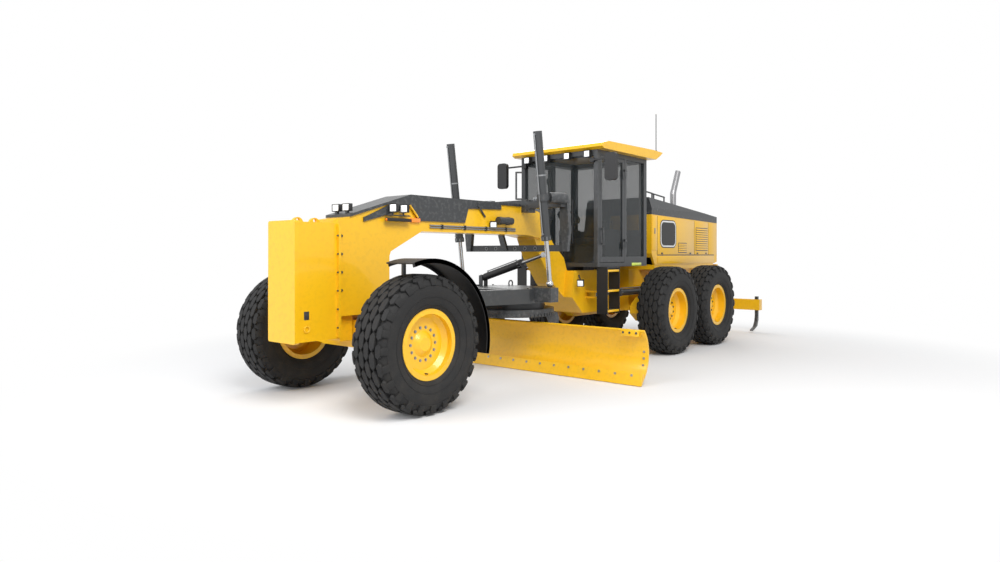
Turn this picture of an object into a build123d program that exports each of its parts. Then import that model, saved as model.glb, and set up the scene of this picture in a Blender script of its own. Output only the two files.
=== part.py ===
"""Motor grader: articulated six-wheel road grader with a rear ripper and a front push block.

Units are millimetres. X points forward, Y to the machine's left and Z up. The origin lies on
the ground, under the middle of the machine's outer box. Every sub-part is one STEP file.
"""
from build123d import *
import math
import os

# ---------------------------------------------------------------- fits and clearances
SEAT = 0.3              # gap left where two pieces seat on each other
PIN_FIT = 0.3           # gap all round a pin in its bore
RUN_GAP = 12.0          # gap beside a moving piece

# ---------------------------------------------------------------- running gear
WHEELBASE = 6160.0      # front axle to the middle of the tandems
FRONT_AXLE_X = 4270.0
TANDEM_SPACING = 1541.0
HALF_TRACK = 1066.5     # machine's mid-plane to a tyre's mid-plane
TANDEM_Y = (590.0, 750.0)
TYRE_R = 692.0          # out to the lugs' tips
TYRE_W = 444.0
LUG_H = 26.0
LUG_COUNT = 20          # on each shoulder
LUG_LEN = 120.0         # round the tyre
TREAD_W = 386.0
CROWN_W = 270.0
RIM_R = 352.0           # flange
BARREL_R = 318.0        # bead seat
RIM_HALF_W = 164.0
FLANGE_T = 14.0
RIM_T = 16.0
DISC_T = 22.0
DISC_R = 256.0
FRONT_DISC_W = 62.0     # outer face of the front wheels' disc, from the tyre's mid-plane
REAR_DISC_W = 4.0       # the same on the tandem wheels, dished deeper
HUB_R = 96.0
HUB_DOME_H = 40.0

# ---------------------------------------------------------------- frame and articulation
HINGE_X = -890.0        # vertical pin between the front and the rear frame
HINGE_PIN_R = 55.0
BEAM_HALF_W = 200.0
NECK_HALF_W = 160.0
BEAM_TOP = 2262.0
BEAM_BOTTOM = 1845.0
BEAM_REAR_X = 1450.0
NOSE_REAR_X = FRONT_AXLE_X - 360.0
NOSE_FRONT_X = FRONT_AXLE_X + 340.0
PEAK_X = NOSE_REAR_X - 300.0
NOSE_TOP = 1975.0
NOSE_BOTTOM = 930.0
LOWER_HALF_W = 310.0
LOWER_BOTTOM = 682.0    # the blade's top passes under it
LOWER_TOP = 1330.0
LOWER_FRONT_X = 330.0
LOWER_REAR_X = -660.0
TONGUE_Z = (740.0, 1120.0)
HITCH_T = 60.0
HITCH_R = 175.0

REAR_FRAME_HALF_W = 340.0
REAR_FRAME_FRONT_X = -1130.0
REAR_FRAME_REAR_X = -4060.0
REAR_FRAME_BOTTOM = 640.0
REAR_FRAME_TOP = 1330.0

# ---------------------------------------------------------------- push block
PUSH_FRONT_X = NOSE_FRONT_X + 533.0
PUSH_HALF_W = 241.0
PUSH_Z = (690.0, 1915.0)
PUSH_SLAB_T = 50.0
PUSH_FLANGE_T = 30.0

# ---------------------------------------------------------------- front axle and steering
KINGPIN_Y = 800.0
KINGPIN_R = 38.0
BOSS_R = 74.0
AXLE_BEAM_X = (FRONT_AXLE_X - 78.0, FRONT_AXLE_X + 78.0)
AXLE_EAR_X = (FRONT_AXLE_X - 158.0, FRONT_AXLE_X + 250.0)    # ends of the ears round the axle's pin
AXLE_PIN_PAST = 8.0
AXLE_PIVOT_Z = 765.0
AXLE_PIN_R = 45.0
AXLE_BOSS_Z = (604.0, 780.0)
EAR_T = 44.0
STEER_ARM = 300.0
TIE_ROD_R = 27.0
TIE_ROD_EYE_R = 42.0
TIE_PIN_R = 14.0
FENDER_R = 845.0
FENDER_T = 14.0
FENDER_Y = (884.0, 1272.0)
FENDER_ARC = (72.0, 192.0)      # degrees round the wheel, from straight ahead over the top

# ---------------------------------------------------------------- drawbar, circle and blade
BALL = (NOSE_REAR_X - 110.0, 0.0, 1000.0)
BALL_R = 62.0
CIRCLE_X = 1570.0
CIRCLE_R = 620.0
CIRCLE_RING_W = 130.0
CIRCLE_Z = (742.0, 842.0)
DRAWBAR_Z = (930.0, 1120.0)
DECK_CLEAR = 36.0       # circle's underside to the deck inside it
BLADE_LENGTH = 4200.0
BLADE_EDGE_X = 1660.0
BLADE_CLEAR = 6.0       # cutting edge to the ground
BLADE_TOP = 652.0
BLADE_FOOT_Z = 104.0    # where the curved board meets its cutting edge
BLADE_CURVE_R = 420.0
BLADE_T = 22.0
EDGE_T = 18.0
TILT_PIN = (1385.0, 165.0)      # X and Z of the blade's pitch pin
TILT_PIN_R = 26.0
RAIL_Z = (240.0, 530.0)
RAIL_HALF_LEN = 1420.0
ARM_Y = (470.0, 510.0)

# ---------------------------------------------------------------- cylinders
LIFT_TOP = (1833.0, 780.0, 2310.0)      # trunnion of the left lift cylinder
LIFT_FOOT = (1680.0, 780.0, 1190.0)
LIFT_BARREL_R = 58.0
LIFT_ROD_R = 30.0
LIFT_BALL_R = 46.0
LIFT_BARREL_UP = 850.0                  # barrel above its trunnion
LIFT_BARREL_DOWN = 560.0                # and below it
SHIFT_BASE = (1592.0, -470.0, 1240.0)   # centre-shift cylinder on the drawbar
SHIFT_EYE = (1592.0, 620.0, 1570.0)
SHIFT_EYE_HALF = 26.0
SHIFT_BARREL_R = 50.0
SHIFT_ROD_R = 25.0
SHIFT_BARREL_LEN = 740.0
STEER_CYL_BASE = (-1350.0, 480.0, 965.0)    # articulation cylinder on the rear frame
STEER_CYL_EYE = (60.0, 480.0, 965.0)        # and its rod's eye beside the front frame
STEER_BARREL_R = 52.0
STEER_ROD_R = 26.0
STEER_BARREL_LEN = 780.0

# ---------------------------------------------------------------- cab
CAB_FRONT_X = 410.0
CAB_REAR_X = -1060.0
CAB_HALF_W = 710.0
CAB_FLOOR_Z = 1390.0
CAB_FLOOR_T = 60.0
CAB_TOP_Z = 3110.0
POST_W = 66.0
B_POST_X = -354.0
ROOF_FRONT_X = 489.0
ROOF_REAR_X = -1375.0
ROOF_HALF_W = 837.0
ROOF_T = 110.0
GLASS_T = 6.0
DOOR_T = 40.0
DOOR_GAP = 6.0
DOOR_FRAME_W = 52.0

# ---------------------------------------------------------------- engine housing
HOOD_FRONT_X = -1345.0
HOOD_REAR_X = -4000.0
HOOD_HALF_W = 650.0
HOOD_BOTTOM = 1400.0
HOOD_SHOULDER = 2240.0
HOOD_TOP_FRONT = 2530.0
HOOD_TOP_REAR = 2300.0
HOOD_WALL = 40.0

EXHAUST_FOOT_R = 90.0

# ---------------------------------------------------------------- ripper
RIPPER_PIN = (-4190.0, 930.0)       # X and Z of the ripper's hinge
RIPPER_BEAM_X = (-5143.0, -5003.0)
RIPPER_BEAM_Z = (440.0, 656.0)
RIPPER_HALF_W = 1120.0
SHANK_Y = (-1040.0, 0.0, 1040.0)
SHANK_W = 60.0
SHANK_TIP_Z = 37.0


# ================================================================ helpers
def block(x0, x1, y0, y1, z0, z1):
    """A box between its limits."""
    centre = ((x0 + x1) / 2, (y0 + y1) / 2, (z0 + z1) / 2)
    return Pos(*centre) * Box(abs(x1 - x0), abs(y1 - y0), abs(z1 - z0))


def side_plate(outline, y0, y1):
    """An outline of (x, z) points, as thick as y0 to y1."""
    wire = Polyline([(x, y0, z) for x, z in outline], close=True)
    return extrude(make_face(wire), amount=y1 - y0, dir=(0, 1, 0))


def plan_plate(outline, z0, z1):
    """An outline of (x, y) points, as thick as z0 to z1."""
    wire = Polyline([(x, y, z0) for x, y in outline], close=True)
    return extrude(make_face(wire), amount=z1 - z0, dir=(0, 0, 1))


def cross_plate(outline, x0, x1):
    """An outline of (y, z) points, as thick as x0 to x1."""
    wire = Polyline([(x0, y, z) for y, z in outline], close=True)
    return extrude(make_face(wire), amount=x1 - x0, dir=(1, 0, 0))


def bar(start, end, radius):
    """A round bar from one point to another."""
    start = Vector(*start)
    run = Vector(*end) - start
    return Solid.make_cylinder(radius, run.length, Plane(origin=start, z_dir=run))


def along(start, end, distance):
    """The point a distance from start towards end."""
    start = Vector(*start)
    run = (Vector(*end) - start).normalized()
    point = start + run * distance
    return (point.X, point.Y, point.Z)


def spun(outline):
    """Revolve (radius, offset) points round the Y axis."""
    return revolve(make_face(Polyline(outline, close=True)), Axis.Y)


def other_side(shape):
    """The same piece on the machine's right."""
    return mirror(shape, about=Plane.XZ)


def both_sides(shape):
    return shape + other_side(shape)


def moved_point(point, side):
    return (point[0], point[1] * side, point[2])


# ================================================================ wheels
def tyre():
    """A radial tyre with two staggered rows of shoulder lugs, its axis along Y."""
    half = TYRE_W / 2
    crown = TYRE_R - LUG_H
    bead = RIM_HALF_W - FLANGE_T - SEAT
    side = [
        (BARREL_R + SEAT, bead),
        (RIM_R + 6, bead),
        (RIM_R + 30, half - 26),
        (RIM_R + 120, half),
        (crown - 90, half - 4),
        (crown - 26, TREAD_W / 2),
        (crown, CROWN_W / 2),
    ]
    carcass = spun(side + [(r, -w) for r, w in reversed(side)])
    lug_face = [
        (crown - 60, half - 22),
        (crown + 8, TREAD_W / 2 + 4),
        (TYRE_R, CROWN_W / 2),
        (TYRE_R, 14),
        (crown - 6, 10),
    ]
    angle = math.degrees(LUG_LEN / TYRE_R)
    lug = revolve(make_face(Polyline(lug_face, close=True)), Axis.Y, angle)
    pitch = 360 / LUG_COUNT
    lugs = []
    for index in range(LUG_COUNT):
        lugs.append(Rot(0, index * pitch, 0) * lug)
        lugs.append(Rot(0, (index + 0.5) * pitch, 0) * other_side(lug))
    return carcass.fuse(*lugs)


def rim(disc_w, hub_inner):
    """A wheel: barrel, two flanges, dished disc and hub, outer side towards +Y."""
    flange_in = RIM_HALF_W - FLANGE_T
    inner_r = BARREL_R - RIM_T
    shell = spun([
        (inner_r, -RIM_HALF_W), (RIM_R, -RIM_HALF_W), (RIM_R, -flange_in), (BARREL_R, -flange_in),
        (BARREL_R, flange_in), (RIM_R, flange_in), (RIM_R, RIM_HALF_W), (inner_r, RIM_HALF_W),
    ])
    disc = spun([
        (0, disc_w - DISC_T), (DISC_R - 10, disc_w - DISC_T), (inner_r + 4, disc_w + 12),
        (inner_r + 4, disc_w + 46), (DISC_R, disc_w), (HUB_R + 34, disc_w),
        (HUB_R, disc_w + HUB_DOME_H * 0.6), (HUB_R * 0.7, disc_w + HUB_DOME_H),
        (0, disc_w + HUB_DOME_H),
    ])
    hub = spun([(0, hub_inner), (HUB_R, hub_inner), (HUB_R, disc_w - 4), (0, disc_w - 4)])
    return shell + disc + hub


def wheel_places():
    """Name, X, side, disc offset and inner end of the hub, for each wheel."""
    tandem_x = FRONT_AXLE_X - WHEELBASE
    front_hub = -120.0
    rear_hub = TANDEM_Y[1] + SEAT - HALF_TRACK
    rows = []
    for side_name, side in (("left", 1), ("right", -1)):
        rows.append((f"front_{side_name}", FRONT_AXLE_X, side, FRONT_DISC_W, front_hub))
        rows.append((f"middle_{side_name}", tandem_x + TANDEM_SPACING / 2, side,
                     REAR_DISC_W, rear_hub))
        rows.append((f"rear_{side_name}", tandem_x - TANDEM_SPACING / 2, side,
                     REAR_DISC_W, rear_hub))
    return rows


def add_wheels(parts):
    tyre_shape = tyre()
    for name, x, side, disc_w, hub_inner in wheel_places():
        wheel = rim(disc_w, hub_inner)
        rubber = tyre_shape
        if side < 0:
            wheel = other_side(wheel)
            rubber = other_side(rubber)
        place = Pos(x, side * HALF_TRACK, TYRE_R)
        parts[f"rim_{name}"] = place * wheel
        parts[f"tyre_{name}"] = place * rubber


# ================================================================ front frame
def front_frame():
    """Arched beam, nose over the axle, sloping neck and the frame under the cab."""
    beam = side_plate([
        (NOSE_FRONT_X - 30, NOSE_TOP - 25), (NOSE_FRONT_X - 150, NOSE_TOP), (PEAK_X, BEAM_TOP - 30),
        (BEAM_REAR_X, BEAM_TOP - 30), (1120, 2170), (1090, 1800), (1420, BEAM_BOTTOM),
        (NOSE_REAR_X - 490, BEAM_BOTTOM), (NOSE_REAR_X - 20, 1610), (NOSE_REAR_X, 1560),
        (NOSE_REAR_X, NOSE_BOTTOM + 60),
        (NOSE_REAR_X + 60, NOSE_BOTTOM), (NOSE_FRONT_X - 30, NOSE_BOTTOM),
    ], -BEAM_HALF_W, BEAM_HALF_W)
    neck = side_plate([
        (1200, 2175), (1000, 2100), (760, 1740), (480, 1520), (400, LOWER_TOP),
        (LOWER_REAR_X + 300, LOWER_TOP), (LOWER_REAR_X + 300, LOWER_BOTTOM), (130, LOWER_BOTTOM),
        (560, 985), (750, 1140), (1060, 1515), (1200, 1790),
    ], -NECK_HALF_W, NECK_HALF_W)
    lower = side_plate([
        (LOWER_FRONT_X + 110, LOWER_TOP), (LOWER_REAR_X, LOWER_TOP), (LOWER_REAR_X, LOWER_BOTTOM + 90),
        (LOWER_REAR_X + 90, LOWER_BOTTOM), (LOWER_FRONT_X - 130, LOWER_BOTTOM),
        (LOWER_FRONT_X + 150, LOWER_BOTTOM + 250),
    ], -LOWER_HALF_W, LOWER_HALF_W)
    tongue = block(HINGE_X, LOWER_REAR_X + 20, -HITCH_R, HITCH_R, *TONGUE_Z)
    tongue += bar((HINGE_X, 0, TONGUE_Z[0]), (HINGE_X, 0, TONGUE_Z[1]), HITCH_R)
    bore = bar((HINGE_X, 0, 0), (HINGE_X, 0, 2000), HINGE_PIN_R + PIN_FIT)
    ears = block(AXLE_EAR_X[0], AXLE_BEAM_X[0] - RUN_GAP, -120, 120, 655, NOSE_BOTTOM + 5)
    ears += block(AXLE_BEAM_X[1] + RUN_GAP, AXLE_EAR_X[1], -120, 120, 655, NOSE_BOTTOM + 5)
    flange = block(NOSE_FRONT_X - 30, NOSE_FRONT_X, -BEAM_HALF_W - 10, BEAM_HALF_W + 10, 700, 1950)
    frame = beam + neck + lower + tongue + ears + flange
    past = AXLE_PIN_PAST + 4
    pivot = bar((AXLE_EAR_X[0] - past, 0, AXLE_PIVOT_Z), (AXLE_EAR_X[1] + past, 0, AXLE_PIVOT_Z),
                AXLE_PIN_R + PIN_FIT)
    bx, by, bz = STEER_CYL_EYE
    for side in (1, -1):
        for z_low in (bz - 30 - SEAT - 30, bz + 30 + SEAT):
            frame += block(bx - 55, bx + 55, side * (LOWER_HALF_W - 10), side * (by + 45), z_low, z_low + 30)
    x, y, z = BALL
    frame += bar((x + BALL_R + SEAT, 0, z), (NOSE_REAR_X - 15, 0, z), 34)
    frame += block(NOSE_REAR_X - 20, NOSE_REAR_X + 5, -90, 90, z - 6, z + 110)
    return frame - bore - pivot


def beam_cover():
    """Dark cover along the top of the beam, with skirts down its sides."""
    rear_x = SADDLE_X[1] + 40
    side = [
        (NOSE_FRONT_X - 150, NOSE_TOP + SEAT), (PEAK_X, BEAM_TOP - 30 + SEAT),
        (rear_x, BEAM_TOP - 30 + SEAT), (rear_x, BEAM_TOP),
        (PEAK_X, BEAM_TOP + 2), (NOSE_FRONT_X - 150, NOSE_TOP + 30),
    ]
    top = side_plate(side, -BEAM_HALF_W - 20, BEAM_HALF_W + 20)
    skirt = side_plate([
        (NOSE_FRONT_X - 330, 1975), (PEAK_X, BEAM_TOP), (2000, BEAM_TOP), (2000, 2170),
        (2640, 2150), (2700, 1970), (3480, 1965), (3600, 2130), (3760, 2070), (4280, 1930),
    ], BEAM_HALF_W + SEAT, BEAM_HALF_W + 20)
    return top + both_sides(skirt)


def push_block():
    """Counterweight bolted to the nose: front slab, recessed box and two lifting ears."""
    back = NOSE_FRONT_X + SEAT
    z0, z1 = PUSH_Z
    slab = block(PUSH_FRONT_X - PUSH_SLAB_T, PUSH_FRONT_X, -PUSH_HALF_W, PUSH_HALF_W, z0, z1)
    slab = fillet(slab.edges().filter_by(Axis.X), 24)
    body = block(back, PUSH_FRONT_X - PUSH_SLAB_T, -PUSH_HALF_W + 14, PUSH_HALF_W - 14, z0 + 14, z1 - 14)
    rib = block(back, back + PUSH_FLANGE_T, -PUSH_HALF_W - 24, PUSH_HALF_W + 24, z0 + 30, z1 - 20)
    ears = []
    for x in (4760, 4960):
        lug = Plane.XZ * (Pos(x, z1 - 20) * Circle(62))
        ear = extrude(lug, amount=17, both=True)
        hole = Pos(x, 0, z1 + 12) * Rot(90, 0, 0) * Cylinder(20, 60)
        ears.append(ear - hole)
    return slab + body + rib + ears[0] + ears[1]


# ================================================================ front axle and steering
def front_axle():
    """Axle beam hung on a pin under the nose, with a kingpin boss at each end."""
    x0, x1 = AXLE_BEAM_X
    low, high = AXLE_BOSS_Z
    flat_y = KINGPIN_Y - BOSS_R - 60
    outline = [
        (-KINGPIN_Y + 30, low), (-KINGPIN_Y + 30, high), (-flat_y, high), (-420, high + 30),
        (-200, high + 90), (200, high + 90), (420, high + 30), (flat_y, high),
        (KINGPIN_Y - 30, high), (KINGPIN_Y - 30, low), (flat_y, low), (420, low - 30),
        (-420, low - 30), (-flat_y, low),
    ]
    beam = cross_plate(outline, x0, x1)
    x_mid = FRONT_AXLE_X
    for side in (1, -1):
        y = side * KINGPIN_Y
        beam += bar((x_mid, y, low), (x_mid, y, high), BOSS_R)
    for side in (1, -1):
        y = side * KINGPIN_Y
        beam -= bar((x_mid, y, low - 10), (x_mid, y, high + 10), KINGPIN_R + PIN_FIT)
        beam -= clearance_round_kingpin(side)
    beam += bar((AXLE_EAR_X[0] - AXLE_PIN_PAST, 0, AXLE_PIVOT_Z),
                (AXLE_EAR_X[1] + AXLE_PIN_PAST, 0, AXLE_PIVOT_Z), AXLE_PIN_R)
    return beam


def clearance_round_kingpin(side):
    """Room outside the kingpin boss for the steered fork."""
    y = side * KINGPIN_Y
    low, high = AXLE_BOSS_Z
    ring = bar((FRONT_AXLE_X, y, low - 20), (FRONT_AXLE_X, y, high + 20), BOSS_R + 60)
    ring -= bar((FRONT_AXLE_X, y, low - 30), (FRONT_AXLE_X, y, high + 30), BOSS_R)
    keep = block(0, 9000, -KINGPIN_Y, KINGPIN_Y, 0, 2000)
    return ring - keep


def knuckle():
    """Left knuckle: fork round the axle's boss, spindle, steering arm and fender post."""
    low, high = AXLE_BOSS_Z
    x, y = FRONT_AXLE_X, KINGPIN_Y
    gap = 2.0
    hub_face = HALF_TRACK - 120.0 - PIN_FIT
    shape = bar((x, y, low - gap - EAR_T), (x, y, low - gap), BOSS_R)
    shape += bar((x, y, high + gap), (x, y, high + gap + EAR_T), BOSS_R)
    shape += block(x - 60, x + 60, y, y + BOSS_R + 40, low - gap - EAR_T, low - gap)
    shape += block(x - 60, x + 60, y, y + BOSS_R + 40, high + gap, high + gap + EAR_T)
    shape += block(x - 70, x + 70, y + BOSS_R + 14, y + BOSS_R + 50, low - gap - EAR_T, high + gap + EAR_T)
    shape += bar((x, y, low - 20), (x, y, high + 20), KINGPIN_R)
    shape += bar((x, y + BOSS_R + 30, TYRE_R), (x, hub_face, TYRE_R), 84)
    shape += steering_arm()
    shape += fender_post()
    return shape


def steering_arm():
    """Arm behind the kingpin, with the pin that takes the tie rod's eye."""
    low = AXLE_BOSS_Z[0]
    x = FRONT_AXLE_X - STEER_ARM
    z1 = low - 2.0
    arm = plan_plate([
        (FRONT_AXLE_X, KINGPIN_Y - 60), (FRONT_AXLE_X, KINGPIN_Y + 30),
        (x, KINGPIN_Y + 28), (x, KINGPIN_Y - 28),
    ], z1 - 36, z1 - 8)
    arm += bar((x, KINGPIN_Y, z1 - 36), (x, KINGPIN_Y, z1 - 8), 28)
    arm += bar((x, KINGPIN_Y, z1 - 10), (x, KINGPIN_Y, z1 + 50), TIE_PIN_R)
    return arm


def fender_post():
    """Tube from the knuckle up between wheel and frame, and out under the fender."""
    x = FRONT_AXLE_X
    z0 = AXLE_BOSS_Z[1] + 20
    under = TYRE_R + FENDER_R - FENDER_T
    post_x = x - 40
    post = bar((post_x, KINGPIN_Y, z0), (post_x, KINGPIN_Y, under - 30), 24)
    rail_top = TYRE_R + math.sqrt((FENDER_R - FENDER_T) ** 2 - 70 ** 2) - SEAT
    post += block(post_x - 30, post_x + 30, KINGPIN_Y - 24, FENDER_Y[1] - 40, rail_top - 34, rail_top)
    return post


def tie_rod():
    """Bar between the two steering arms."""
    x = FRONT_AXLE_X - STEER_ARM
    z0 = AXLE_BOSS_Z[0] - 2.0 - 8 + 3
    z1 = z0 + 52
    mid = (z0 + z1) / 2
    rod = bar((x, -KINGPIN_Y + 30, mid), (x, KINGPIN_Y - 30, mid), TIE_ROD_R - 3)
    for side in (1, -1):
        rod += bar((x, side * KINGPIN_Y, z0), (x, side * KINGPIN_Y, z1), TIE_ROD_EYE_R)
    for side in (1, -1):
        rod -= bar((x, side * KINGPIN_Y, z0 - 5), (x, side * KINGPIN_Y, z1 + 5), TIE_PIN_R + PIN_FIT)
    return rod


def fender():
    """Left front fender: an arched shell with a lip down each edge."""
    y0, y1 = FENDER_Y
    lip = 46.0
    outline = [
        (FENDER_R - FENDER_T, y0), (FENDER_R, y0), (FENDER_R, y1), (FENDER_R - lip, y1),
        (FENDER_R - lip, y1 - FENDER_T), (FENDER_R - FENDER_T, y1 - FENDER_T),
    ]
    start, end = FENDER_ARC
    arch = revolve(make_face(Polyline(outline, close=True)), Axis.Y, end - start)
    return Pos(FRONT_AXLE_X, 0, TYRE_R) * (Rot(0, -end, 0) * arch)


# ================================================================ drawbar, circle and blade
def drawbar_ball():
    """Ball the drawbar swings on; its stem stands on the back of the nose."""
    return Pos(*BALL) * Sphere(BALL_R)


def drawbar():
    """A-shaped box frame from the ball back to the plate that carries the circle."""
    z0, z1 = DRAWBAR_Z
    x, y, z = BALL
    reach = CIRCLE_R - 30
    half = [
        (x + 25, 92), (x - 120, 92), (x - 420, 120), (CIRCLE_X + 1010, 400), (CIRCLE_X + 300, reach),
        (CIRCLE_X - 280, reach), (CIRCLE_X - 490, 400),
    ]
    frame = plan_plate(half + [(px, -py) for px, py in reversed(half)], z0, z1)
    window = [(x - 900, 90), (CIRCLE_X + 960, 250), (CIRCLE_X + 620, 330)]
    frame -= plan_plate(window + [(px, -py) for px, py in reversed(window)], z0 - 10, z1 + 10)
    frame -= Pos(x, y, z) * Sphere(BALL_R + PIN_FIT)
    deck_z = CIRCLE_Z[0] + DECK_CLEAR
    deck_r = CIRCLE_R - CIRCLE_RING_W - PIN_FIT
    frame += Pos(CIRCLE_X, 0, (z0 + deck_z) / 2) * Cylinder(deck_r, z0 - deck_z + 2)
    fx, fy, fz = LIFT_FOOT
    top = fz - LIFT_BALL_R - 5
    for side in (1, -1):
        frame += block(fx - 85, fx + 85, side * (reach - 40), side * (fy + 75), z0 + 20, top)
    bx, by, bz = SHIFT_BASE
    for x_low in (bx - 42 - SEAT - 20, bx + 42 + SEAT):
        frame += block(x_low, x_low + 20, by - 30, by + 30, z1 - 5, bz + 34)
    frame += bar((bx - 60, by, bz), (bx + 60, by, bz), 24 - PIN_FIT)
    return frame


def circle():
    """Toothed ring under the drawbar and the two arms that reach down behind the blade."""
    z0, z1 = CIRCLE_Z
    ring = Pos(CIRCLE_X, 0, (z0 + z1) / 2) * Cylinder(CIRCLE_R, z1 - z0)
    ring -= Pos(CIRCLE_X, 0, (z0 + z1) / 2) * Cylinder(CIRCLE_R - CIRCLE_RING_W, z1 - z0 + 10)
    px, pz = TILT_PIN
    arm_side = [
        (CIRCLE_X - 430, z0 + 30), (CIRCLE_X - 480, z0 - 60), (px - 170, pz + 60), (px - 70, pz - 50),
        (px, pz - 55), (px + 52, pz), (px, pz + 60), (px - 60, pz + 240), (px - 30, z0 - 80),
        (px + 60, z0 + 30),
    ]
    arms = side_plate(arm_side, *ARM_Y)
    arms -= bar((px, ARM_Y[0] - 5, pz), (px, ARM_Y[1] + 5, pz), TILT_PIN_R + PIN_FIT)
    brace = block(CIRCLE_X - 460, CIRCLE_X - 380, -ARM_Y[0] - 5, ARM_Y[0] + 5, z0 - 50, z0 + 20)
    return ring + both_sides(arms) + brace


def board_front_x(z):
    """X of the blade's front face at a height."""
    mid_z = (BLADE_FOOT_Z + BLADE_TOP) / 2
    centre_x = BLADE_EDGE_X + 238
    return centre_x - math.sqrt(BLADE_CURVE_R ** 2 - (z - mid_z) ** 2)


def moldboard():
    """Curved board with its cutting edge, end bits and the two slide rails on its back."""
    half = BLADE_LENGTH / 2
    mid_z = (BLADE_FOOT_Z + BLADE_TOP) / 2
    low = Vector(board_front_x(BLADE_FOOT_Z), -half, BLADE_FOOT_Z)
    mid = Vector(board_front_x(mid_z), -half, mid_z)
    top = Vector(board_front_x(BLADE_TOP), -half, BLADE_TOP)
    centre = Vector(BLADE_EDGE_X + 238, -half, mid_z)
    grow = (BLADE_CURVE_R + BLADE_T) / BLADE_CURVE_R
    low_back = centre + (low - centre) * grow
    mid_back = centre + (mid - centre) * grow
    top_back = centre + (top - centre) * grow
    outline = ThreePointArc(low, mid, top) + Line(top, top_back)
    outline += ThreePointArc(top_back, mid_back, low_back) + Line(low_back, low)
    board = extrude(make_face(outline), amount=BLADE_LENGTH, dir=(0, 1, 0))
    edge = side_plate([
        (low.X + 30, BLADE_FOOT_Z + 50), (low.X + 4, BLADE_FOOT_Z + 40), (low.X - 14, BLADE_FOOT_Z - 10),
        (BLADE_EDGE_X - EDGE_T, BLADE_CLEAR), (BLADE_EDGE_X, BLADE_CLEAR),
    ], -half, half)
    rails = []
    for z in RAIL_Z:
        back = board_front_x(z) - BLADE_T
        web = block(RAIL_X[1], back + 8, -RAIL_HALF_LEN, RAIL_HALF_LEN, z - 14, z + 14)
        flange = block(*RAIL_X, -RAIL_HALF_LEN, RAIL_HALF_LEN, z - 34, z + 34)
        rails.append(web + flange)
    return board + edge + rails[0] + rails[1]


RAIL_X = (1424.0, 1444.0)
SHOE_GAP = SEAT


def blade_carrier():
    """Tilt frame: two plates on the arms' pins, with shoes that hold the blade's rails."""
    px, pz = TILT_PIN
    y0, y1 = ARM_Y[0] - 54, ARM_Y[0] - 6
    x0, x1 = RAIL_X
    face = x0 - SHOE_GAP
    plate = side_plate([
        (px - 45, pz - 40), (px + 20, pz - 45), (px + 45, pz), (face - 20, RAIL_Z[0] - 60),
        (face - 20, RAIL_Z[1] + 60), (face - 70, RAIL_Z[1] + 60), (px - 60, RAIL_Z[0] + 80),
    ], y0, y1)
    for z in RAIL_Z:
        plate += block(face - 22, face, y0 - 60, y1, z - 34 - SHOE_GAP - 20, z + 34 + SHOE_GAP + 20)
        for sign in (1, -1):
            z_in = z + sign * (34 + SHOE_GAP)
            z_out = z + sign * (34 + SHOE_GAP + 20)
            low, high = min(z_in, z_out), max(z_in, z_out)
            plate += block(face - 2, x1 + SHOE_GAP + 12, y0 - 60, y1, low, high)
    pin = bar((px, y0 + 4, pz), (px, ARM_Y[1] + 10, pz), TILT_PIN_R)
    tube = bar((px - 10, 0, 420), (px - 10, y0 + 5, 420), 36)
    return both_sides(plate + pin + tube)


# ================================================================ cylinders
def barrel_and_rod(pivot, eye, back, front, barrel_r, rod_r, reach):
    """A hydraulic cylinder: barrel from behind its pivot to in front of it, rod to the eye.

    reach is how far the rod goes into the barrel at rest.
    """
    back_point = along(pivot, eye, -back)
    front_point = along(pivot, eye, front)
    bore_start = along(pivot, eye, 60 - back)
    barrel = bar(back_point, front_point, barrel_r)
    barrel += bar(along(pivot, eye, front - 60), along(pivot, eye, front), barrel_r + 8)
    barrel -= bar(bore_start, along(pivot, eye, front + 5), rod_r + PIN_FIT)
    rod = bar(along(pivot, eye, front - reach), eye, rod_r)
    return barrel, rod


def trunnion_point(side, distance):
    """A point on the trunnion's axis, which points level from the cylinder towards the ball."""
    x, y, z = LIFT_TOP
    run_x = BALL[0] - LIFT_FOOT[0]
    run_y = BALL[1] - LIFT_FOOT[1]
    length = math.hypot(run_x, run_y)
    return (x + distance * run_x / length, side * (y + distance * run_y / length), z)


def lift_cylinder(side):
    """Blade lift cylinder in its trunnion ring, with the rod's ball end."""
    top = moved_point(LIFT_TOP, side)
    foot = moved_point(LIFT_FOOT, side)
    barrel, rod = barrel_and_rod(top, foot, LIFT_BARREL_UP, LIFT_BARREL_DOWN,
                                 LIFT_BARREL_R, LIFT_ROD_R, 120)
    ring = bar(along(top, foot, -45), along(top, foot, 45), LIFT_BARREL_R + 22)
    ring -= bar(along(top, foot, -50), along(top, foot, 50), LIFT_BARREL_R - 5)
    barrel += ring
    barrel += bar(trunnion_point(side, -LIFT_BARREL_R), trunnion_point(side, -TRUNNION_REACH), TRUNNION_R)
    rod += Pos(*foot) * Sphere(LIFT_BALL_R)
    return barrel, rod


def shift_cylinder():
    """Centre-shift cylinder from the drawbar up to the lift saddle."""
    barrel, rod = barrel_and_rod(SHIFT_BASE, SHIFT_EYE, -40, SHIFT_BARREL_LEN,
                                 SHIFT_BARREL_R, SHIFT_ROD_R, 331)
    x, y, z = SHIFT_BASE
    barrel += bar((x - 42, y, z), (x + 42, y, z), 44)
    barrel -= bar((x - 50, y, z), (x + 50, y, z), 24)
    x, y, z = SHIFT_EYE
    rod += bar((x - SHIFT_EYE_HALF, y, z), (x + SHIFT_EYE_HALF, y, z), 36)
    return barrel, rod


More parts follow.
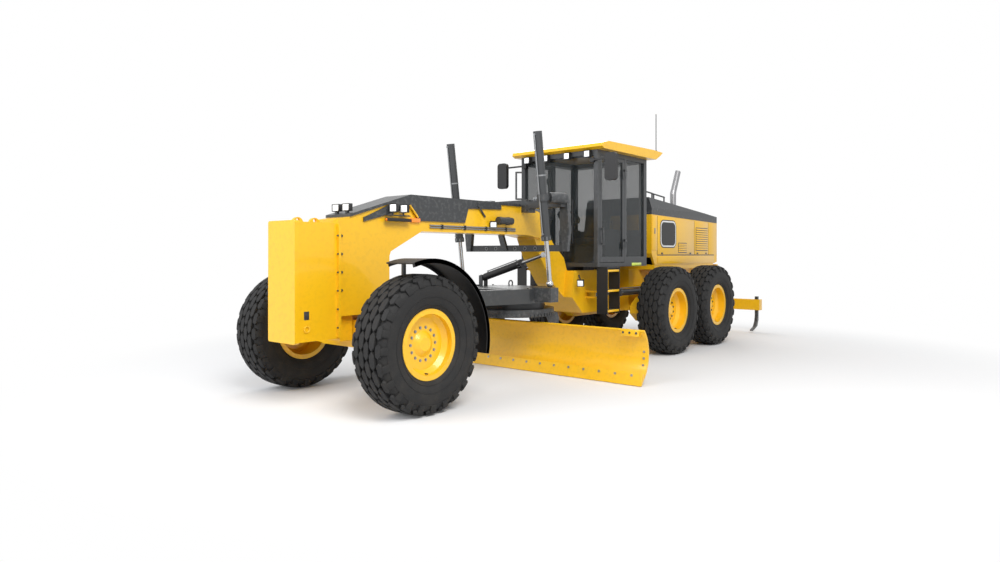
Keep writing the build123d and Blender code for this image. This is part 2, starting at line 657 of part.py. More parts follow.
def articulation_cylinder(side):
    """Cylinder beside the frame joint, from the rear frame to the front frame."""
    base = moved_point(STEER_CYL_BASE, side)
    eye = moved_point(STEER_CYL_EYE, side)
    barrel, rod = barrel_and_rod(base, eye, -30, STEER_BARREL_LEN, STEER_BARREL_R, STEER_ROD_R, 260)
    x, y, z = base
    barrel += bar((x, y, z - 52), (x, y, z + 52), 48)
    barrel -= bar((x, y, z - 60), (x, y, z + 60), 26)
    x, y, z = eye
    rod += bar((x, y, z - 30), (x, y, z + 30), 40)
    return barrel, rod


# ================================================================ lift saddle
def lift_saddle():
    """Casting over the beam's end: arms out to the lift cylinders and down to the lock bar."""
    x0, x1 = SADDLE_X
    core = block(x0, x1, -330, 330, 2150, BEAM_TOP + 60)
    core -= block(x0 - 5, x1 + 5, -BEAM_HALF_W - SEAT, BEAM_HALF_W + SEAT, 1500, BEAM_TOP - 30 + SEAT)
    x, y, z = LIFT_TOP
    arm = plan_plate([
        (x0, 300), (x1, 300), (x1 + 20, 560), (x1 + 20, y + 100), (x0 + 20, y + 130), (x0, 640),
    ], 2200, 2300)
    face = LIFT_BARREL_R + 22 + RUN_GAP
    boss = bar(trunnion_point(1, -face), trunnion_point(1, -face - 260), 74)
    socket = bar(trunnion_point(1, -face + 5), trunnion_point(1, -TRUNNION_REACH - PIN_FIT),
                 TRUNNION_R + PIN_FIT)
    drop = cross_plate([
        (y + 10, 2250), (y + 135, 2250), (y + 165, 1900), (y + 130, LOCK_BAR_Z[0]),
        (y + 50, LOCK_BAR_Z[0]), (y + 20, 1900),
    ], x0 + 15, x0 + 75)
    wing = arm + boss + drop - socket
    lock_x = x0 + LOCK_BAR_BACK
    lock = block(lock_x, lock_x + LOCK_BAR_T, -y - 110, y + 110, *LOCK_BAR_Z)
    hanger = cross_plate([
        (-330, 2200), (-BEAM_HALF_W - 2, 2200), (-BEAM_HALF_W - 2, BEAM_BOTTOM - 10),
        (-130, LOCK_BAR_Z[0] + 20),
        (-230, LOCK_BAR_Z[0] + 20), (-330, 1950),
    ], x0 + 25, x0 + 65)
    return core + both_sides(wing) + lock + hanger


LOCK_BAR_Z = (1614.0, 1702.0)
LOCK_BAR_BACK = 3.0       # ahead of the rear face of the saddle
LOCK_BAR_T = 40.0
SADDLE_X = (1405.0, 1555.0)
TRUNNION_R = 32.0
TRUNNION_REACH = 240.0


# ================================================================ cab
def cab_frame():
    """Floor, posts, roof ring, lower back wall, pedestal and steering column."""
    x0, x1, half = CAB_REAR_X, CAB_FRONT_X, CAB_HALF_W
    z0 = CAB_FLOOR_Z
    z1 = z0 + CAB_FLOOR_T
    frame = block(x0, x1, -half, half, z0, z1)
    frame += block(x0, x1, -half, half, CAB_TOP_Z - 70, CAB_TOP_Z) - block(
        x0 + 200, x1 - 160, -half + 150, half - 150, CAB_TOP_Z - 80, CAB_TOP_Z + 10)
    for side in (1, -1):
        inner, outer = side * (half - POST_W), side * half
        frame += block(x1 - POST_W, x1, inner, outer, z1 - 5, CAB_TOP_Z - 60)
        frame += block(B_POST_X - POST_W, B_POST_X, inner, outer, z1 - 5, CAB_TOP_Z - 60)
        frame += block(x0, x0 + 90, side * (half - 90), outer, z1 - 5, CAB_TOP_Z - 60)
        frame += block(x0, B_POST_X - 10, inner + side * 26, outer, z1 - 5, z1 + 90)
    frame += block(x0, x0 + 40, -half, half, z1 - 5, z1 + 520)
    frame += block(-690, -330, -200, 200, z1 - 5, z1 + 260)
    frame += block(150, 230, -60, 60, z1 - 5, z1 + 640)
    wheel = Pos(120, 0, z1 + 700) * Rot(0, -35, 0) * Torus(170, 16)
    frame += wheel + Pos(120, 0, z1 + 700) * Rot(0, -35, 0) * Box(340, 40, 16)
    frame += bar((190, 0, z1 + 600), (125, 0, z1 + 705), 30)
    for side in (1, -1):
        frame += block(-640, -240, side * 300, side * 440, z1 + 60, z1 + 520)
        frame += block(-560, -440, side * 360, side * 420, z1 - 5, z1 + 80)
    hx, hy = DOOR_HINGE
    for z in DOOR_HINGE_Z:
        for side in (1, -1):
            z_pin = z + DOOR_KNUCKLE_H + SEAT
            frame += bar((hx, side * hy, z_pin), (hx, side * hy, z_pin + 40), 13)
            frame += block(hx - 40, hx - 4, side * (half - 5), side * (hy + 8), z_pin, z_pin + 40)
    frame += block(-200, 100, -260, 260, LOWER_TOP + SEAT, z0 + 5)
    frame += block(-900, -600, -260, 260, LOWER_TOP + SEAT, z0 + 5)
    return frame


def cab_roof():
    """Roof panel with a raised band and the aerial at its rear left corner."""
    half = ROOF_HALF_W
    z0 = CAB_TOP_Z + SEAT
    outline = [
        (ROOF_FRONT_X - 60, z0), (ROOF_FRONT_X, z0 + 30), (ROOF_FRONT_X - 20, z0 + ROOF_T - 30),
        (ROOF_FRONT_X - 170, z0 + ROOF_T + 10), (ROOF_REAR_X + 300, z0 + ROOF_T + 36),
        (ROOF_REAR_X, z0 + ROOF_T + 24), (ROOF_REAR_X + 60, z0 + ROOF_T - 20),
        (ROOF_REAR_X + 230, z0),
    ]
    roof = side_plate(outline, -half, half)
    aerial = bar((ROOF_REAR_X + 120, half - 60, z0 + 60), (ROOF_REAR_X + 120, half - 60, 3870), 6)
    return roof + aerial


def pane(x0, x1, y0, y1, z0, z1):
    return block(x0, x1, y0, y1, z0, z1)


def cab_glass():
    """Windscreen, rear window and the two fixed rear side windows."""
    z0 = CAB_FLOOR_Z + CAB_FLOOR_T + SEAT
    z1 = CAB_TOP_Z - 70 - SEAT
    half = CAB_HALF_W - POST_W - SEAT
    screen = pane(CAB_FRONT_X - 40, CAB_FRONT_X - 40 + GLASS_T, -half, half, z0, z1)
    back = pane(CAB_REAR_X + 20, CAB_REAR_X + 20 + GLASS_T, -CAB_HALF_W + 90 + SEAT,
                CAB_HALF_W - 90 - SEAT, z0 + 520, z1)
    side_x = (CAB_REAR_X + 90 + SEAT, B_POST_X - POST_W - SEAT)
    side = pane(*side_x, CAB_HALF_W - 30, CAB_HALF_W - 30 + GLASS_T, z0 + 90, z1)
    return [screen, back, side, other_side(side)]


DOOR_X = (B_POST_X + DOOR_GAP, CAB_FRONT_X - POST_W - DOOR_GAP)
DOOR_Z = (CAB_FLOOR_Z + CAB_FLOOR_T + 8, CAB_TOP_Z - 76)
DOOR_HINGE = (B_POST_X + 8.0, CAB_HALF_W + 22.0)
DOOR_HINGE_Z = (DOOR_Z[0] + 200, DOOR_Z[1] - 300)
DOOR_KNUCKLE_H = 110.0


def door():
    """Left door frame, its window cut, with two hinge knuckles and a handle."""
    x0, x1 = DOOR_X
    z0, z1 = DOOR_Z
    y1 = CAB_HALF_W
    frame = block(x0, x1, y1 - DOOR_T, y1, z0, z1)
    w = DOOR_FRAME_W
    frame -= block(x0 + w, x1 - w, y1 - DOOR_T - 5, y1 + 5, z0 + w + 30, z1 - w)
    hx, hy = DOOR_HINGE
    for z in DOOR_HINGE_Z:
        frame += bar((hx, hy, z), (hx, hy, z + DOOR_KNUCKLE_H), 13)
        frame += block(hx - 2, hx + 60, y1 - 4, hy, z, z + DOOR_KNUCKLE_H)
    handle = block(x1 - 44, x1 - 20, y1 - 2, y1 + 42, z0 + 260, z0 + 284)
    handle += block(x1 - 44, x1 - 20, y1 - 2, y1 + 42, z0 + 480, z0 + 504)
    handle += block(x1 - 44, x1 - 20, y1 + 26, y1 + 42, z0 + 260, z0 + 504)
    return frame + handle


def door_glass():
    """Pane that fills the left door's window."""
    x0, x1 = DOOR_X
    z0, z1 = DOOR_Z
    w = DOOR_FRAME_W + SEAT
    y = CAB_HALF_W - DOOR_T / 2
    return pane(x0 + w, x1 - w, y, y + GLASS_T, z0 + w + 30, z1 - w)


def seat():
    """Operator's seat: cushion and back."""
    z0 = CAB_FLOOR_Z + CAB_FLOOR_T + 260 + SEAT
    cushion = block(-720, -230, -240, 240, z0, z0 + 130)
    cushion = fillet(cushion.edges().filter_by(Axis.Z), 60)
    back = side_plate([
        (-600, z0 + 126), (-720, z0 + 126), (-840, z0 + 760), (-720, z0 + 760),
    ], -230, 230)
    return cushion + back


def ladders():
    """Access steps on both sides, hung from the cab floor."""
    x0, x1 = 20.0, 340.0
    y0, y1 = 600.0, 840.0
    top = CAB_FLOOR_Z - SEAT
    ladder = block(x0 - 16, x0, y0 + 60, y1, 700, top) + block(x1, x1 + 16, y0 + 60, y1, 700, top)
    ladder += block(x0 - 16, x1 + 16, y0, y1, top - 24, top)
    for z in (745.0, 1040.0, 1335.0):
        ladder += block(x0 - 2, x1 + 2, y1 - 150, y1 - 4, z - 14, z + 14)
    return [ladder, other_side(ladder)]


def mirrors():
    """Two mirror heads on tube arms from the cab's front posts."""
    heads = []
    for side, y, low, high in ((1, 950.0, 2640.0, 3040.0), (-1, 1080.0, 2640.0, 3050.0)):
        x = CAB_FRONT_X + 20
        head = block(x - 30, x + 30, side * (y - 95), side * (y + 95), low, high)
        head = fillet(head.edges().filter_by(Axis.X), 50)
        arm = block(x - 12, x + 12, side * 600, side * (y + 10), high - 90, high - 66)
        stub = block(CAB_FRONT_X + SEAT, x + 12, side * 600, side * 660, high - 110, high - 50)
        heads.append(head + arm + stub)
    return heads


def work_lamps():
    """Square work lamps: four under the roof's front, two on each side of the nose."""
    lamps = []
    z = CAB_TOP_Z - 60
    for y in (-560.0, -200.0, 200.0, 560.0):
        lamps.append(block(CAB_FRONT_X + SEAT, CAB_FRONT_X + 70, y - 50, y + 50, z - 50, z + 50))
    return lamps


# ================================================================ rear frame and housing
def rear_frame():
    """Engine frame: hitch plates and pin, box frame, rear bumper and ripper lugs."""
    half = REAR_FRAME_HALF_W
    x0, x1 = REAR_FRAME_REAR_X, REAR_FRAME_FRONT_X
    frame = block(x0, x1, -half, half, REAR_FRAME_BOTTOM, REAR_FRAME_TOP)
    low, high = TONGUE_Z
    reach = block(x1 - 10, HINGE_X, -HITCH_R, HITCH_R, low - HITCH_T - 2, low - 2)
    reach += bar((HINGE_X, 0, low - HITCH_T - 2), (HINGE_X, 0, low - 2), HITCH_R)
    frame += reach
    upper = block(x1 - 10, HINGE_X, -HITCH_R, HITCH_R, high + 2, high + 2 + HITCH_T)
    upper += bar((HINGE_X, 0, high + 2), (HINGE_X, 0, high + 2 + HITCH_T), HITCH_R)
    frame += upper
    frame += bar((HINGE_X, 0, low - HITCH_T), (HINGE_X, 0, high + HITCH_T), HINGE_PIN_R)
    frame += block(x0 - 60, x0 + 5, -620, 620, REAR_FRAME_BOTTOM + 60, HOOD_BOTTOM - 20)
    frame += block(HOOD_REAR_X + 160, x1 - 330, -HOOD_HALF_W + 10, HOOD_HALF_W - 10,
                   REAR_FRAME_TOP - 10, HOOD_BOTTOM - SEAT)
    bx, by, bz = STEER_CYL_BASE
    for side in (1, -1):
        for z_low in (bz - STEER_BARREL_R - 46, bz + STEER_BARREL_R + 8):
            frame += block(bx - 60, bx + 60, side * (half - 10), side * (by + 55), z_low, z_low + 38)
        frame += bar((bx, side * by, bz - 80), (bx, side * by, bz + 80), 25)
    px, pz = RIPPER_PIN
    for y in RIPPER_ARM_Y:
        for offset in (-52, 52):
            lug = side_plate([
                (x0 - 55, pz - 110), (px - 20, pz - 60), (px - 60, pz), (px - 20, pz + 60),
                (x0 - 55, pz + 110),
            ], y + offset - 14, y + offset + 14)
            frame += lug
        frame += bar((px, y - 60, pz), (px, y + 60, pz), RIPPER_PIN_R)
    top_x, top_z = RIPPER_CYL_BASE
    for offset in (-72, 72):
        frame += block(top_x - 50, x0 - 50, offset - 14, offset + 14, top_z - 50, top_z + 50)
    frame += bar((top_x, -80, top_z), (top_x, 80, top_z), 24)
    return frame


RIPPER_ARM_Y = (-420.0, 420.0)
RIPPER_PIN_R = 30.0
RIPPER_CYL_BASE = (-4175.0, 1330.0)
RIPPER_CYL_EYE = (-4960.0, 700.0)


def tandem_axle():
    """Rear axle housing across the frame and a tandem case on each side."""
    x = FRONT_AXLE_X - WHEELBASE
    z = TYRE_R
    inner, outer = TANDEM_Y
    reach = TANDEM_SPACING / 2 + 200
    solids = []
    for side in (1, -1):
        y0, y1 = sorted((side * inner, side * outer))
        case = side_plate([
            (x - reach, z - 190), (x + reach, z - 190), (x + reach + 190, z - 60),
            (x + reach + 190, z + 60), (x + reach, z + 190), (x + 250, z + 208), (x - 250, z + 208),
            (x - reach, z + 190), (x - reach - 190, z + 60), (x - reach - 190, z - 60),
        ], y0, y1)
        solids.append(case)
    start = REAR_FRAME_HALF_W + SEAT
    for side in (1, -1):
        y0, y1 = sorted((side * start, side * (inner - SEAT)))
        solids.append(bar((x, y0, z + 20), (x, y1, z + 20), 170))
    return solids


def engine():
    """The engine, as one block at its real size and place."""
    return block(-3500, -2250, -330, 330, HOOD_BOTTOM + SEAT, HOOD_BOTTOM + 780)


def hood_top_z(x):
    run = (x - HOOD_REAR_X) / (HOOD_FRONT_X - HOOD_REAR_X)
    return HOOD_TOP_REAR + run * (HOOD_TOP_FRONT - HOOD_TOP_REAR)


def hood():
    """Yellow side panels and front wall of the engine housing."""
    x0, x1 = HOOD_REAR_X, HOOD_FRONT_X
    half = HOOD_HALF_W
    z0, z1 = HOOD_BOTTOM, HOOD_SHOULDER
    shell = side_plate([
        (x0 + 140, z0), (x0, z0 + 30), (x0, z1 - 60), (x1, z1), (x1, z0 + 190), (x1 - 110, z0),
    ], -half, half)
    shell -= block(x0 + HOOD_WALL, x1 - HOOD_WALL, -half + HOOD_WALL, half - HOOD_WALL, z0 - 10, z1 + 10)
    return shell


def hood_top():
    """Dark top of the housing: sloping deck with chamfered shoulders and hand rails."""
    x0, x1 = HOOD_REAR_X, HOOD_FRONT_X
    half = HOOD_HALF_W
    z_front = HOOD_SHOULDER + SEAT
    z_rear = HOOD_SHOULDER - 60 + SEAT
    lid = side_plate([
        (x0, z_rear), (x0, hood_top_z(x0)), (x1, hood_top_z(x1)), (x1, z_front),
    ], -half, half)
    for side in (1, -1):
        cut = cross_plate([
            (side * (half + 5), HOOD_SHOULDER + 90), (side * (half - 110), 2700), (side * (half + 5), 2700),
        ], x0 - 10, x1 + 10)
        lid -= cut
    lid -= block(x0 + 60, x1 - 60, -half + 130, half - 130, 1900, HOOD_SHOULDER + 30)
    for x_start in (-2080.0, -1640.0):
        lid += hand_rail(x_start, x_start + 380, half - 150)
    return lid


def hand_rail(x0, x1, y):
    """A low tube rail on the deck, as a flat-topped hoop."""
    r = 13.0
    z0 = hood_top_z(x0)
    z1 = hood_top_z(x1)
    rise = 110.0
    rail = bar((x0, y, z0 - 30), (x0, y, z0 + rise), r)
    rail += bar((x1, y, z1 - 30), (x1, y, z1 + rise), r)
    rail += bar((x0 - r, y, z0 + rise), (x1 + r, y, z1 + rise), r)
    return rail


def exhaust():
    """Polished stack that leaves the deck and bends rearwards."""
    x = -3445.0
    z = hood_top_z(x + EXHAUST_FOOT_R) + SEAT
    path = FilletPolyline((x, 0, z + 20), (x, 0, z + 420), (x - 205, 0, z + 850), radius=200)
    pipe = sweep(Plane(origin=(x, 0, z + 20), z_dir=(0, 0, 1)) * Circle(58), path)
    return pipe + Pos(x, 0, z + 12) * Cylinder(EXHAUST_FOOT_R, 24)


# ================================================================ ripper
def ripper_beam():
    """Ripper: two arms from the frame's lugs to a cross beam with shank pockets."""
    px, pz = RIPPER_PIN
    x0, x1 = RIPPER_BEAM_X
    z0, z1 = RIPPER_BEAM_Z
    beam = block(x0, x1, -RIPPER_HALF_W, RIPPER_HALF_W, z0, z1)
    for y in RIPPER_ARM_Y:
        beam += side_plate([
            (px + 45, pz - 45), (px + 45, pz + 45), (px - 60, pz + 65), (x1 - 20, z1 + 10),
            (x1 - 20, z0 + 30), (px - 40, pz - 65),
        ], y - 34, y + 34)
    for y in RIPPER_ARM_Y:
        beam -= bar((px, y - 40, pz), (px, y + 40, pz), RIPPER_PIN_R + PIN_FIT)
    for y in SHANK_Y:
        beam -= block(x0 + 40, x1 - 40, y - SHANK_W / 2 - SEAT, y + SHANK_W / 2 + SEAT, z0 - 10, z1 + 10)
    ex, ez = RIPPER_CYL_EYE
    for offset in (-60, 60):
        beam += block(ex - 45, ex + 45, offset - 12, offset + 12, z1 - 160, ez + 40)
    beam += block(x1 - 5, ex + 45, -72, 72, z1 - 160, z1 - 90)
    return beam


def ripper_shanks():
    """Curved digging shanks held in the beam's pockets."""
    x0, x1 = RIPPER_BEAM_X
    z0, z1 = RIPPER_BEAM_Z
    outline = [
        (x0 + 41, z1 + 60), (x1 - 41, z1 + 60), (x1 - 41, z0 - 120), (x1 - 10, 210),
        (x1 + 70, 110), (x1 + 230, SHANK_TIP_Z + 20), (x1 + 225, SHANK_TIP_Z), (x1 + 110, 70),
        (x1 - 30, 120), (x0 + 48, 240),
    ]
    return [side_plate(outline, y - SHANK_W / 2, y + SHANK_W / 2) for y in SHANK_Y]


def ripper_cylinder():
    """Cylinder that raises the ripper."""
    bx, bz = RIPPER_CYL_BASE
    ex, ez = RIPPER_CYL_EYE
    base = (bx, 0.0, bz)
    eye = (ex, 0.0, ez)
    barrel, rod = barrel_and_rod(base, eye, -30, 610, 48, 25, 120)
    barrel += bar((bx, -50, bz), (bx, 50, bz), 46)
    barrel -= bar((bx, -60, bz), (bx, 60, bz), 24 + PIN_FIT)
    rod += bar((ex, -40, ez), (ex, 40, ez), 38)
    return barrel, rod


# ================================================================ the machine
def build():
    parts = {
        "front_frame": front_frame(),
        "beam_cover": beam_cover(),
        "push_block": push_block(),
        "front_axle": front_axle(),
        "tie_rod": tie_rod(),
        "drawbar_ball": drawbar_ball(),
        "drawbar": drawbar(),
        "circle": circle(),
        "blade_carrier": blade_carrier(),
        "moldboard": moldboard(),
        "lift_saddle": lift_saddle(),
        "cab_frame": cab_frame(),
        "cab_roof": cab_roof(),
        "cab_glass": cab_glass(),
        "seat": seat(),
        "ladders": ladders(),
        "mirrors": mirrors(),
        "work_lamps": work_lamps(),
        "rear_frame": rear_frame(),
        "tandem_axle": tandem_axle(),
        "engine": engine(),
        "hood": hood(),
        "hood_top": hood_top(),
        "exhaust": exhaust(),
        "ripper_beam": ripper_beam(),
        "ripper_shanks": ripper_shanks(),
    }
    mirrored = {"knuckle": knuckle(), "fender": fender(), "door": door(), "door_glass": door_glass()}
    for name, shape in mirrored.items():
        parts[f"{name}_left"] = shape
        parts[f"{name}_right"] = other_side(shape)
    for side_name, side in (("left", 1), ("right", -1)):
        barrel, rod = lift_cylinder(side)
        parts[f"lift_barrel_{side_name}"] = barrel
        parts[f"lift_rod_{side_name}"] = rod
        barrel, rod = articulation_cylinder(side)
        parts[f"articulation_barrel_{side_name}"] = barrel
        parts[f"articulation_rod_{side_name}"] = rod
    parts["shift_barrel"], parts["shift_rod"] = shift_cylinder()
    parts["ripper_barrel"], parts["ripper_rod"] = ripper_cylinder()
    add_wheels(parts)
    return parts


def write(parts):
    os.makedirs("parts", exist_ok=True)
    for name, shape in parts.items():
        solids = shape if isinstance(shape, list) else [shape]
        export_step(Compound(children=[s for item in solids for s in item.solids()]),
                    f"parts/{name}.step")


write(build())
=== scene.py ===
# %% [markdown]
# # A motor grader in Blender
# The machine is a road grader: an arched beam on two steered front wheels, a long curved blade
# hung under it on a turning circle, a glazed cab, and an engine housing over four rear wheels.
# The CAD model gives the solid bodies and the joints. This lesson gives them their paint, and
# models the fittings a buyer would look for: tread blocks, bolts, lamps, pipes, catches.
# Every length is in metres, in the CAD model's own frame: X forwards, Y to the left, Z up.

# %% Load the frame
import math

import bpy
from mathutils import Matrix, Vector


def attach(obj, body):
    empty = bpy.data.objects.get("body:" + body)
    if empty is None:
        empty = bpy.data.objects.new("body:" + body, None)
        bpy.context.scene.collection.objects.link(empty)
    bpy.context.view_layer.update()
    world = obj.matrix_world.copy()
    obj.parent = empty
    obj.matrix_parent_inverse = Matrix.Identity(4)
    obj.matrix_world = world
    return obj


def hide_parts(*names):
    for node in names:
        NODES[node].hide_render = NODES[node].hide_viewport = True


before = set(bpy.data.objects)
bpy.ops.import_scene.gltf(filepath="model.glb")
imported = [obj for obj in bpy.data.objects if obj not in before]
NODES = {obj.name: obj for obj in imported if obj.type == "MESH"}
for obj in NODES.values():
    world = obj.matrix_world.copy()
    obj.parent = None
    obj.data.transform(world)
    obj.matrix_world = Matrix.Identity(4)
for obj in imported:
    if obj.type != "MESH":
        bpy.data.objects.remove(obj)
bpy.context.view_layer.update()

# %% [markdown]
# ## Small tools
# A piece could be typed in as vertices, but a Blender user starts from a primitive, goes into
# edit mode and extrudes, insets or bevels. These helpers do just that, so that each later cell
# reads as the steps a person would take. Rotation and scale are applied at once, because
# procedural textures use object coordinates and should not be stretched.

# %% Selecting, naming and applying
def deselect():
    """Leave edit mode and drop the selection."""
    if bpy.context.mode != "OBJECT":
        bpy.ops.object.mode_set(mode="OBJECT")
    bpy.ops.object.select_all(action="DESELECT")


def alone(obj):
    """Make obj the only selected object, and the active one."""
    deselect()
    obj.select_set(True)
    bpy.context.view_layer.objects.active = obj


def start(name, material):
    """Name the primitive just added and give it its material."""
    obj = bpy.context.active_object
    obj.name = name
    obj.data.name = name
    obj.data.materials.clear()
    obj.data.materials.append(MATERIALS[material])
    return obj


def settle(obj):
    """Apply place, rotation and scale, so that the object sits at the origin."""
    alone(obj)
    bpy.ops.object.transform_apply(location=True, rotation=True, scale=True)
    return obj


print("selection tools ready")

# %% Softened boxes
def soften(obj, width, segments=2):
    """Round the edges with a bevel modifier and shade by angle."""
    alone(obj)
    bevel = obj.modifiers.new("bevel", "BEVEL")
    bevel.width = width
    bevel.segments = segments
    bevel.limit_method = "ANGLE"
    bpy.ops.object.modifier_apply(modifier=bevel.name)
    bpy.ops.object.shade_smooth_by_angle(angle=math.radians(35))
    return obj


def plate(name, centre, size, material, round_by=0.004, turn=(0, 0, 0)):
    """A box with softened edges."""
    deselect()
    bpy.ops.mesh.primitive_cube_add(size=1, location=centre, rotation=turn)
    obj = start(name, material)
    obj.scale = size
    settle(obj)
    return soften(obj, round_by) if round_by else obj


print("box tools ready")

# %% Joining the parts of one piece
def merge(objects, into):
    """Join the objects into one of them."""
    deselect()
    for obj in objects:
        obj.select_set(True)
    bpy.context.view_layer.objects.active = into
    bpy.ops.object.join()
    return bpy.context.active_object


def join(name, objects, body):
    """Join the objects into one piece that rides on a CAD body."""
    piece = merge(objects, objects[0])
    piece.name = name
    piece.data.name = name
    settle(piece)
    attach(piece, body)
    return piece


print("joining tools ready")

# %% [markdown]
# ## Shared finish groups
# Paint on a working machine is never one flat colour. Three node groups carry what all the
# finishes share. "dust" gives more dust low down and on faces that look up. "grain" gives a
# faint uneven normal, as sprayed paint or moulded rubber has. "wear" finds edges from the
# mesh's pointiness. An image texture would look real from one side only, while noise in object
# coordinates holds from every side.

# %% Tools for node groups
def new_group(name, inputs, outputs):
    """A shader node group with named number inputs and named outputs."""
    group = bpy.data.node_groups.new(name, "ShaderNodeTree")
    for label, value in inputs:
        socket = group.interface.new_socket(label, in_out="INPUT", socket_type="NodeSocketFloat")
        socket.default_value = value
    for label, kind in outputs:
        group.interface.new_socket(label, in_out="OUTPUT", socket_type=kind)
    source = group.nodes.new("NodeGroupInput")
    sink = group.nodes.new("NodeGroupOutput")
    return group, source, sink


def noise(group, scale, detail, coordinates):
    """Cloudy noise, 0 to 1."""
    node = group.nodes.new("ShaderNodeTexNoise")
    node.inputs["Scale"].default_value = scale
    node.inputs["Detail"].default_value = detail
    group.links.new(coordinates, node.inputs["Vector"])
    return node.outputs["Fac"]


def ramp(group, value, low, high):
    """0 at low and 1 at high, straight between."""
    node = group.nodes.new("ShaderNodeMapRange")
    node.inputs["From Min"].default_value = low
    node.inputs["From Max"].default_value = high
    group.links.new(value, node.inputs["Value"])
    return node.outputs["Result"]


def maths(group, operation, a, b):
    """One sum on two values, each a number or a socket."""
    node = group.nodes.new("ShaderNodeMath")
    node.operation = operation
    for socket, value in zip(node.inputs, (a, b)):
        if isinstance(value, (int, float)):
            socket.default_value = value
        else:
            group.links.new(value, socket)
    return node.outputs[0]


print("node tools ready")

# %% Dust, grain and wear
dust_group, source, sink = new_group("dust", [("Amount", 0.3)], [("Mask", "NodeSocketFloat")])
where = dust_group.nodes.new("ShaderNodeTexCoord").outputs["Object"]
apart = dust_group.nodes.new("ShaderNodeSeparateXYZ")
dust_group.links.new(where, apart.inputs[0])
low_down = ramp(dust_group, apart.outputs["Z"], 1.3, 0.1)
facing = dust_group.nodes.new("ShaderNodeSeparateXYZ")
dust_group.links.new(dust_group.nodes.new("ShaderNodeNewGeometry").outputs["Normal"], facing.inputs[0])
upward = ramp(dust_group, facing.outputs["Z"], 0.5, 1.0)
patchy = ramp(dust_group, noise(dust_group, 9.0, 6.0, where), 0.42, 0.72)
both = maths(dust_group, "ADD", low_down, maths(dust_group, "MULTIPLY", upward, 0.35))
dust_group.links.new(
    maths(dust_group, "MULTIPLY", maths(dust_group, "MULTIPLY", both, patchy), source.outputs["Amount"]),
    sink.inputs["Mask"])

grain_group, source, sink = new_group(
    "grain", [("Scale", 60.0), ("Strength", 0.1)], [("Normal", "NodeSocketVector"), ("Value", "NodeSocketFloat")])
where = grain_group.nodes.new("ShaderNodeTexCoord").outputs["Object"]
grains = grain_group.nodes.new("ShaderNodeTexNoise")
grains.inputs["Detail"].default_value = 4.0
grain_group.links.new(where, grains.inputs["Vector"])
grain_group.links.new(source.outputs["Scale"], grains.inputs["Scale"])
bump = grain_group.nodes.new("ShaderNodeBump")
bump.inputs["Distance"].default_value = 0.002
grain_group.links.new(source.outputs["Strength"], bump.inputs["Strength"])
grain_group.links.new(grains.outputs["Fac"], bump.inputs["Height"])
grain_group.links.new(bump.outputs["Normal"], sink.inputs["Normal"])
grain_group.links.new(grains.outputs["Fac"], sink.inputs["Value"])

wear_group, source, sink = new_group("wear", [("Amount", 0.5)], [("Mask", "NodeSocketFloat")])
geometry = wear_group.nodes.new("ShaderNodeNewGeometry")
where = wear_group.nodes.new("ShaderNodeTexCoord").outputs["Object"]
edges = ramp(wear_group, geometry.outputs["Pointiness"], 0.53, 0.62)
chips = ramp(wear_group, noise(wear_group, 23.0, 8.0, where), 0.5, 0.62)
wear_group.links.new(
    maths(wear_group, "MULTIPLY", maths(wear_group, "MULTIPLY", edges, chips), source.outputs["Amount"]),
    sink.inputs["Mask"])
print("groups:", [g.name for g in bpy.data.node_groups])

# %% [markdown]
# ## Materials
# Each finish is a Principled shader with plain numbers for what the maker controls: colour,
# roughness, metal, coat. The groups then mix in dust and worn edges. The paint is a deep
# construction yellow with a clear coat; the frame parts are a satin charcoal; the tyres are
# nearly black and a little dusty; the cylinder rods are chromed and the exhaust is bare steel.

# %% How a finish is made
DUST = (0.42, 0.36, 0.28, 1)


def finish(name, colour, roughness, metallic=0.0, coat=0.0, dust=0.3, wear=0.0, worn=(0.3, 0.3, 0.3, 1),
           grain=60.0, depth=0.08, spread=0.0):
    """A Principled material with dust and edge wear mixed into its colour and roughness."""
    material = bpy.data.materials.new(name)
    material.use_nodes = True
    tree = material.node_tree
    shader = tree.nodes["Principled BSDF"]
    shader.inputs["Metallic"].default_value = metallic
    shader.inputs["Coat Weight"].default_value = coat
    shader.inputs["Coat Roughness"].default_value = 0.08
    grain_node = tree.nodes.new("ShaderNodeGroup")
    grain_node.node_tree = grain_group
    grain_node.inputs["Scale"].default_value = grain
    grain_node.inputs["Strength"].default_value = depth
    tree.links.new(grain_node.outputs["Normal"], shader.inputs["Normal"])
    tone = tree.nodes.new("ShaderNodeMix")
    tone.data_type = "RGBA"
    tone.inputs["A"].default_value = (*[c * (1 - spread) for c in colour], 1)
    tone.inputs["B"].default_value = (*colour, 1)
    tree.links.new(grain_node.outputs["Value"], tone.inputs["Factor"])
    current = tone.outputs["Result"]
    for group, amount, other in ((wear_group, wear, worn), (dust_group, dust, DUST)):
        if not amount:
            continue
        node = tree.nodes.new("ShaderNodeGroup")
        node.node_tree = group
        node.inputs["Amount"].default_value = amount
        mix = tree.nodes.new("ShaderNodeMix")
        mix.data_type = "RGBA"
        mix.inputs["B"].default_value = other
        tree.links.new(node.outputs["Mask"], mix.inputs["Factor"])
        tree.links.new(current, mix.inputs["A"])
        current = mix.outputs["Result"]
    tree.links.new(current, shader.inputs["Base Color"])
    rough = tree.nodes.new("ShaderNodeMapRange")
    rough.inputs["To Min"].default_value = roughness * 0.85
    rough.inputs["To Max"].default_value = min(1.0, roughness * 1.2)
    tree.links.new(grain_node.outputs["Value"], rough.inputs["Value"])
    tree.links.new(rough.outputs["Result"], shader.inputs["Roughness"])
    return material


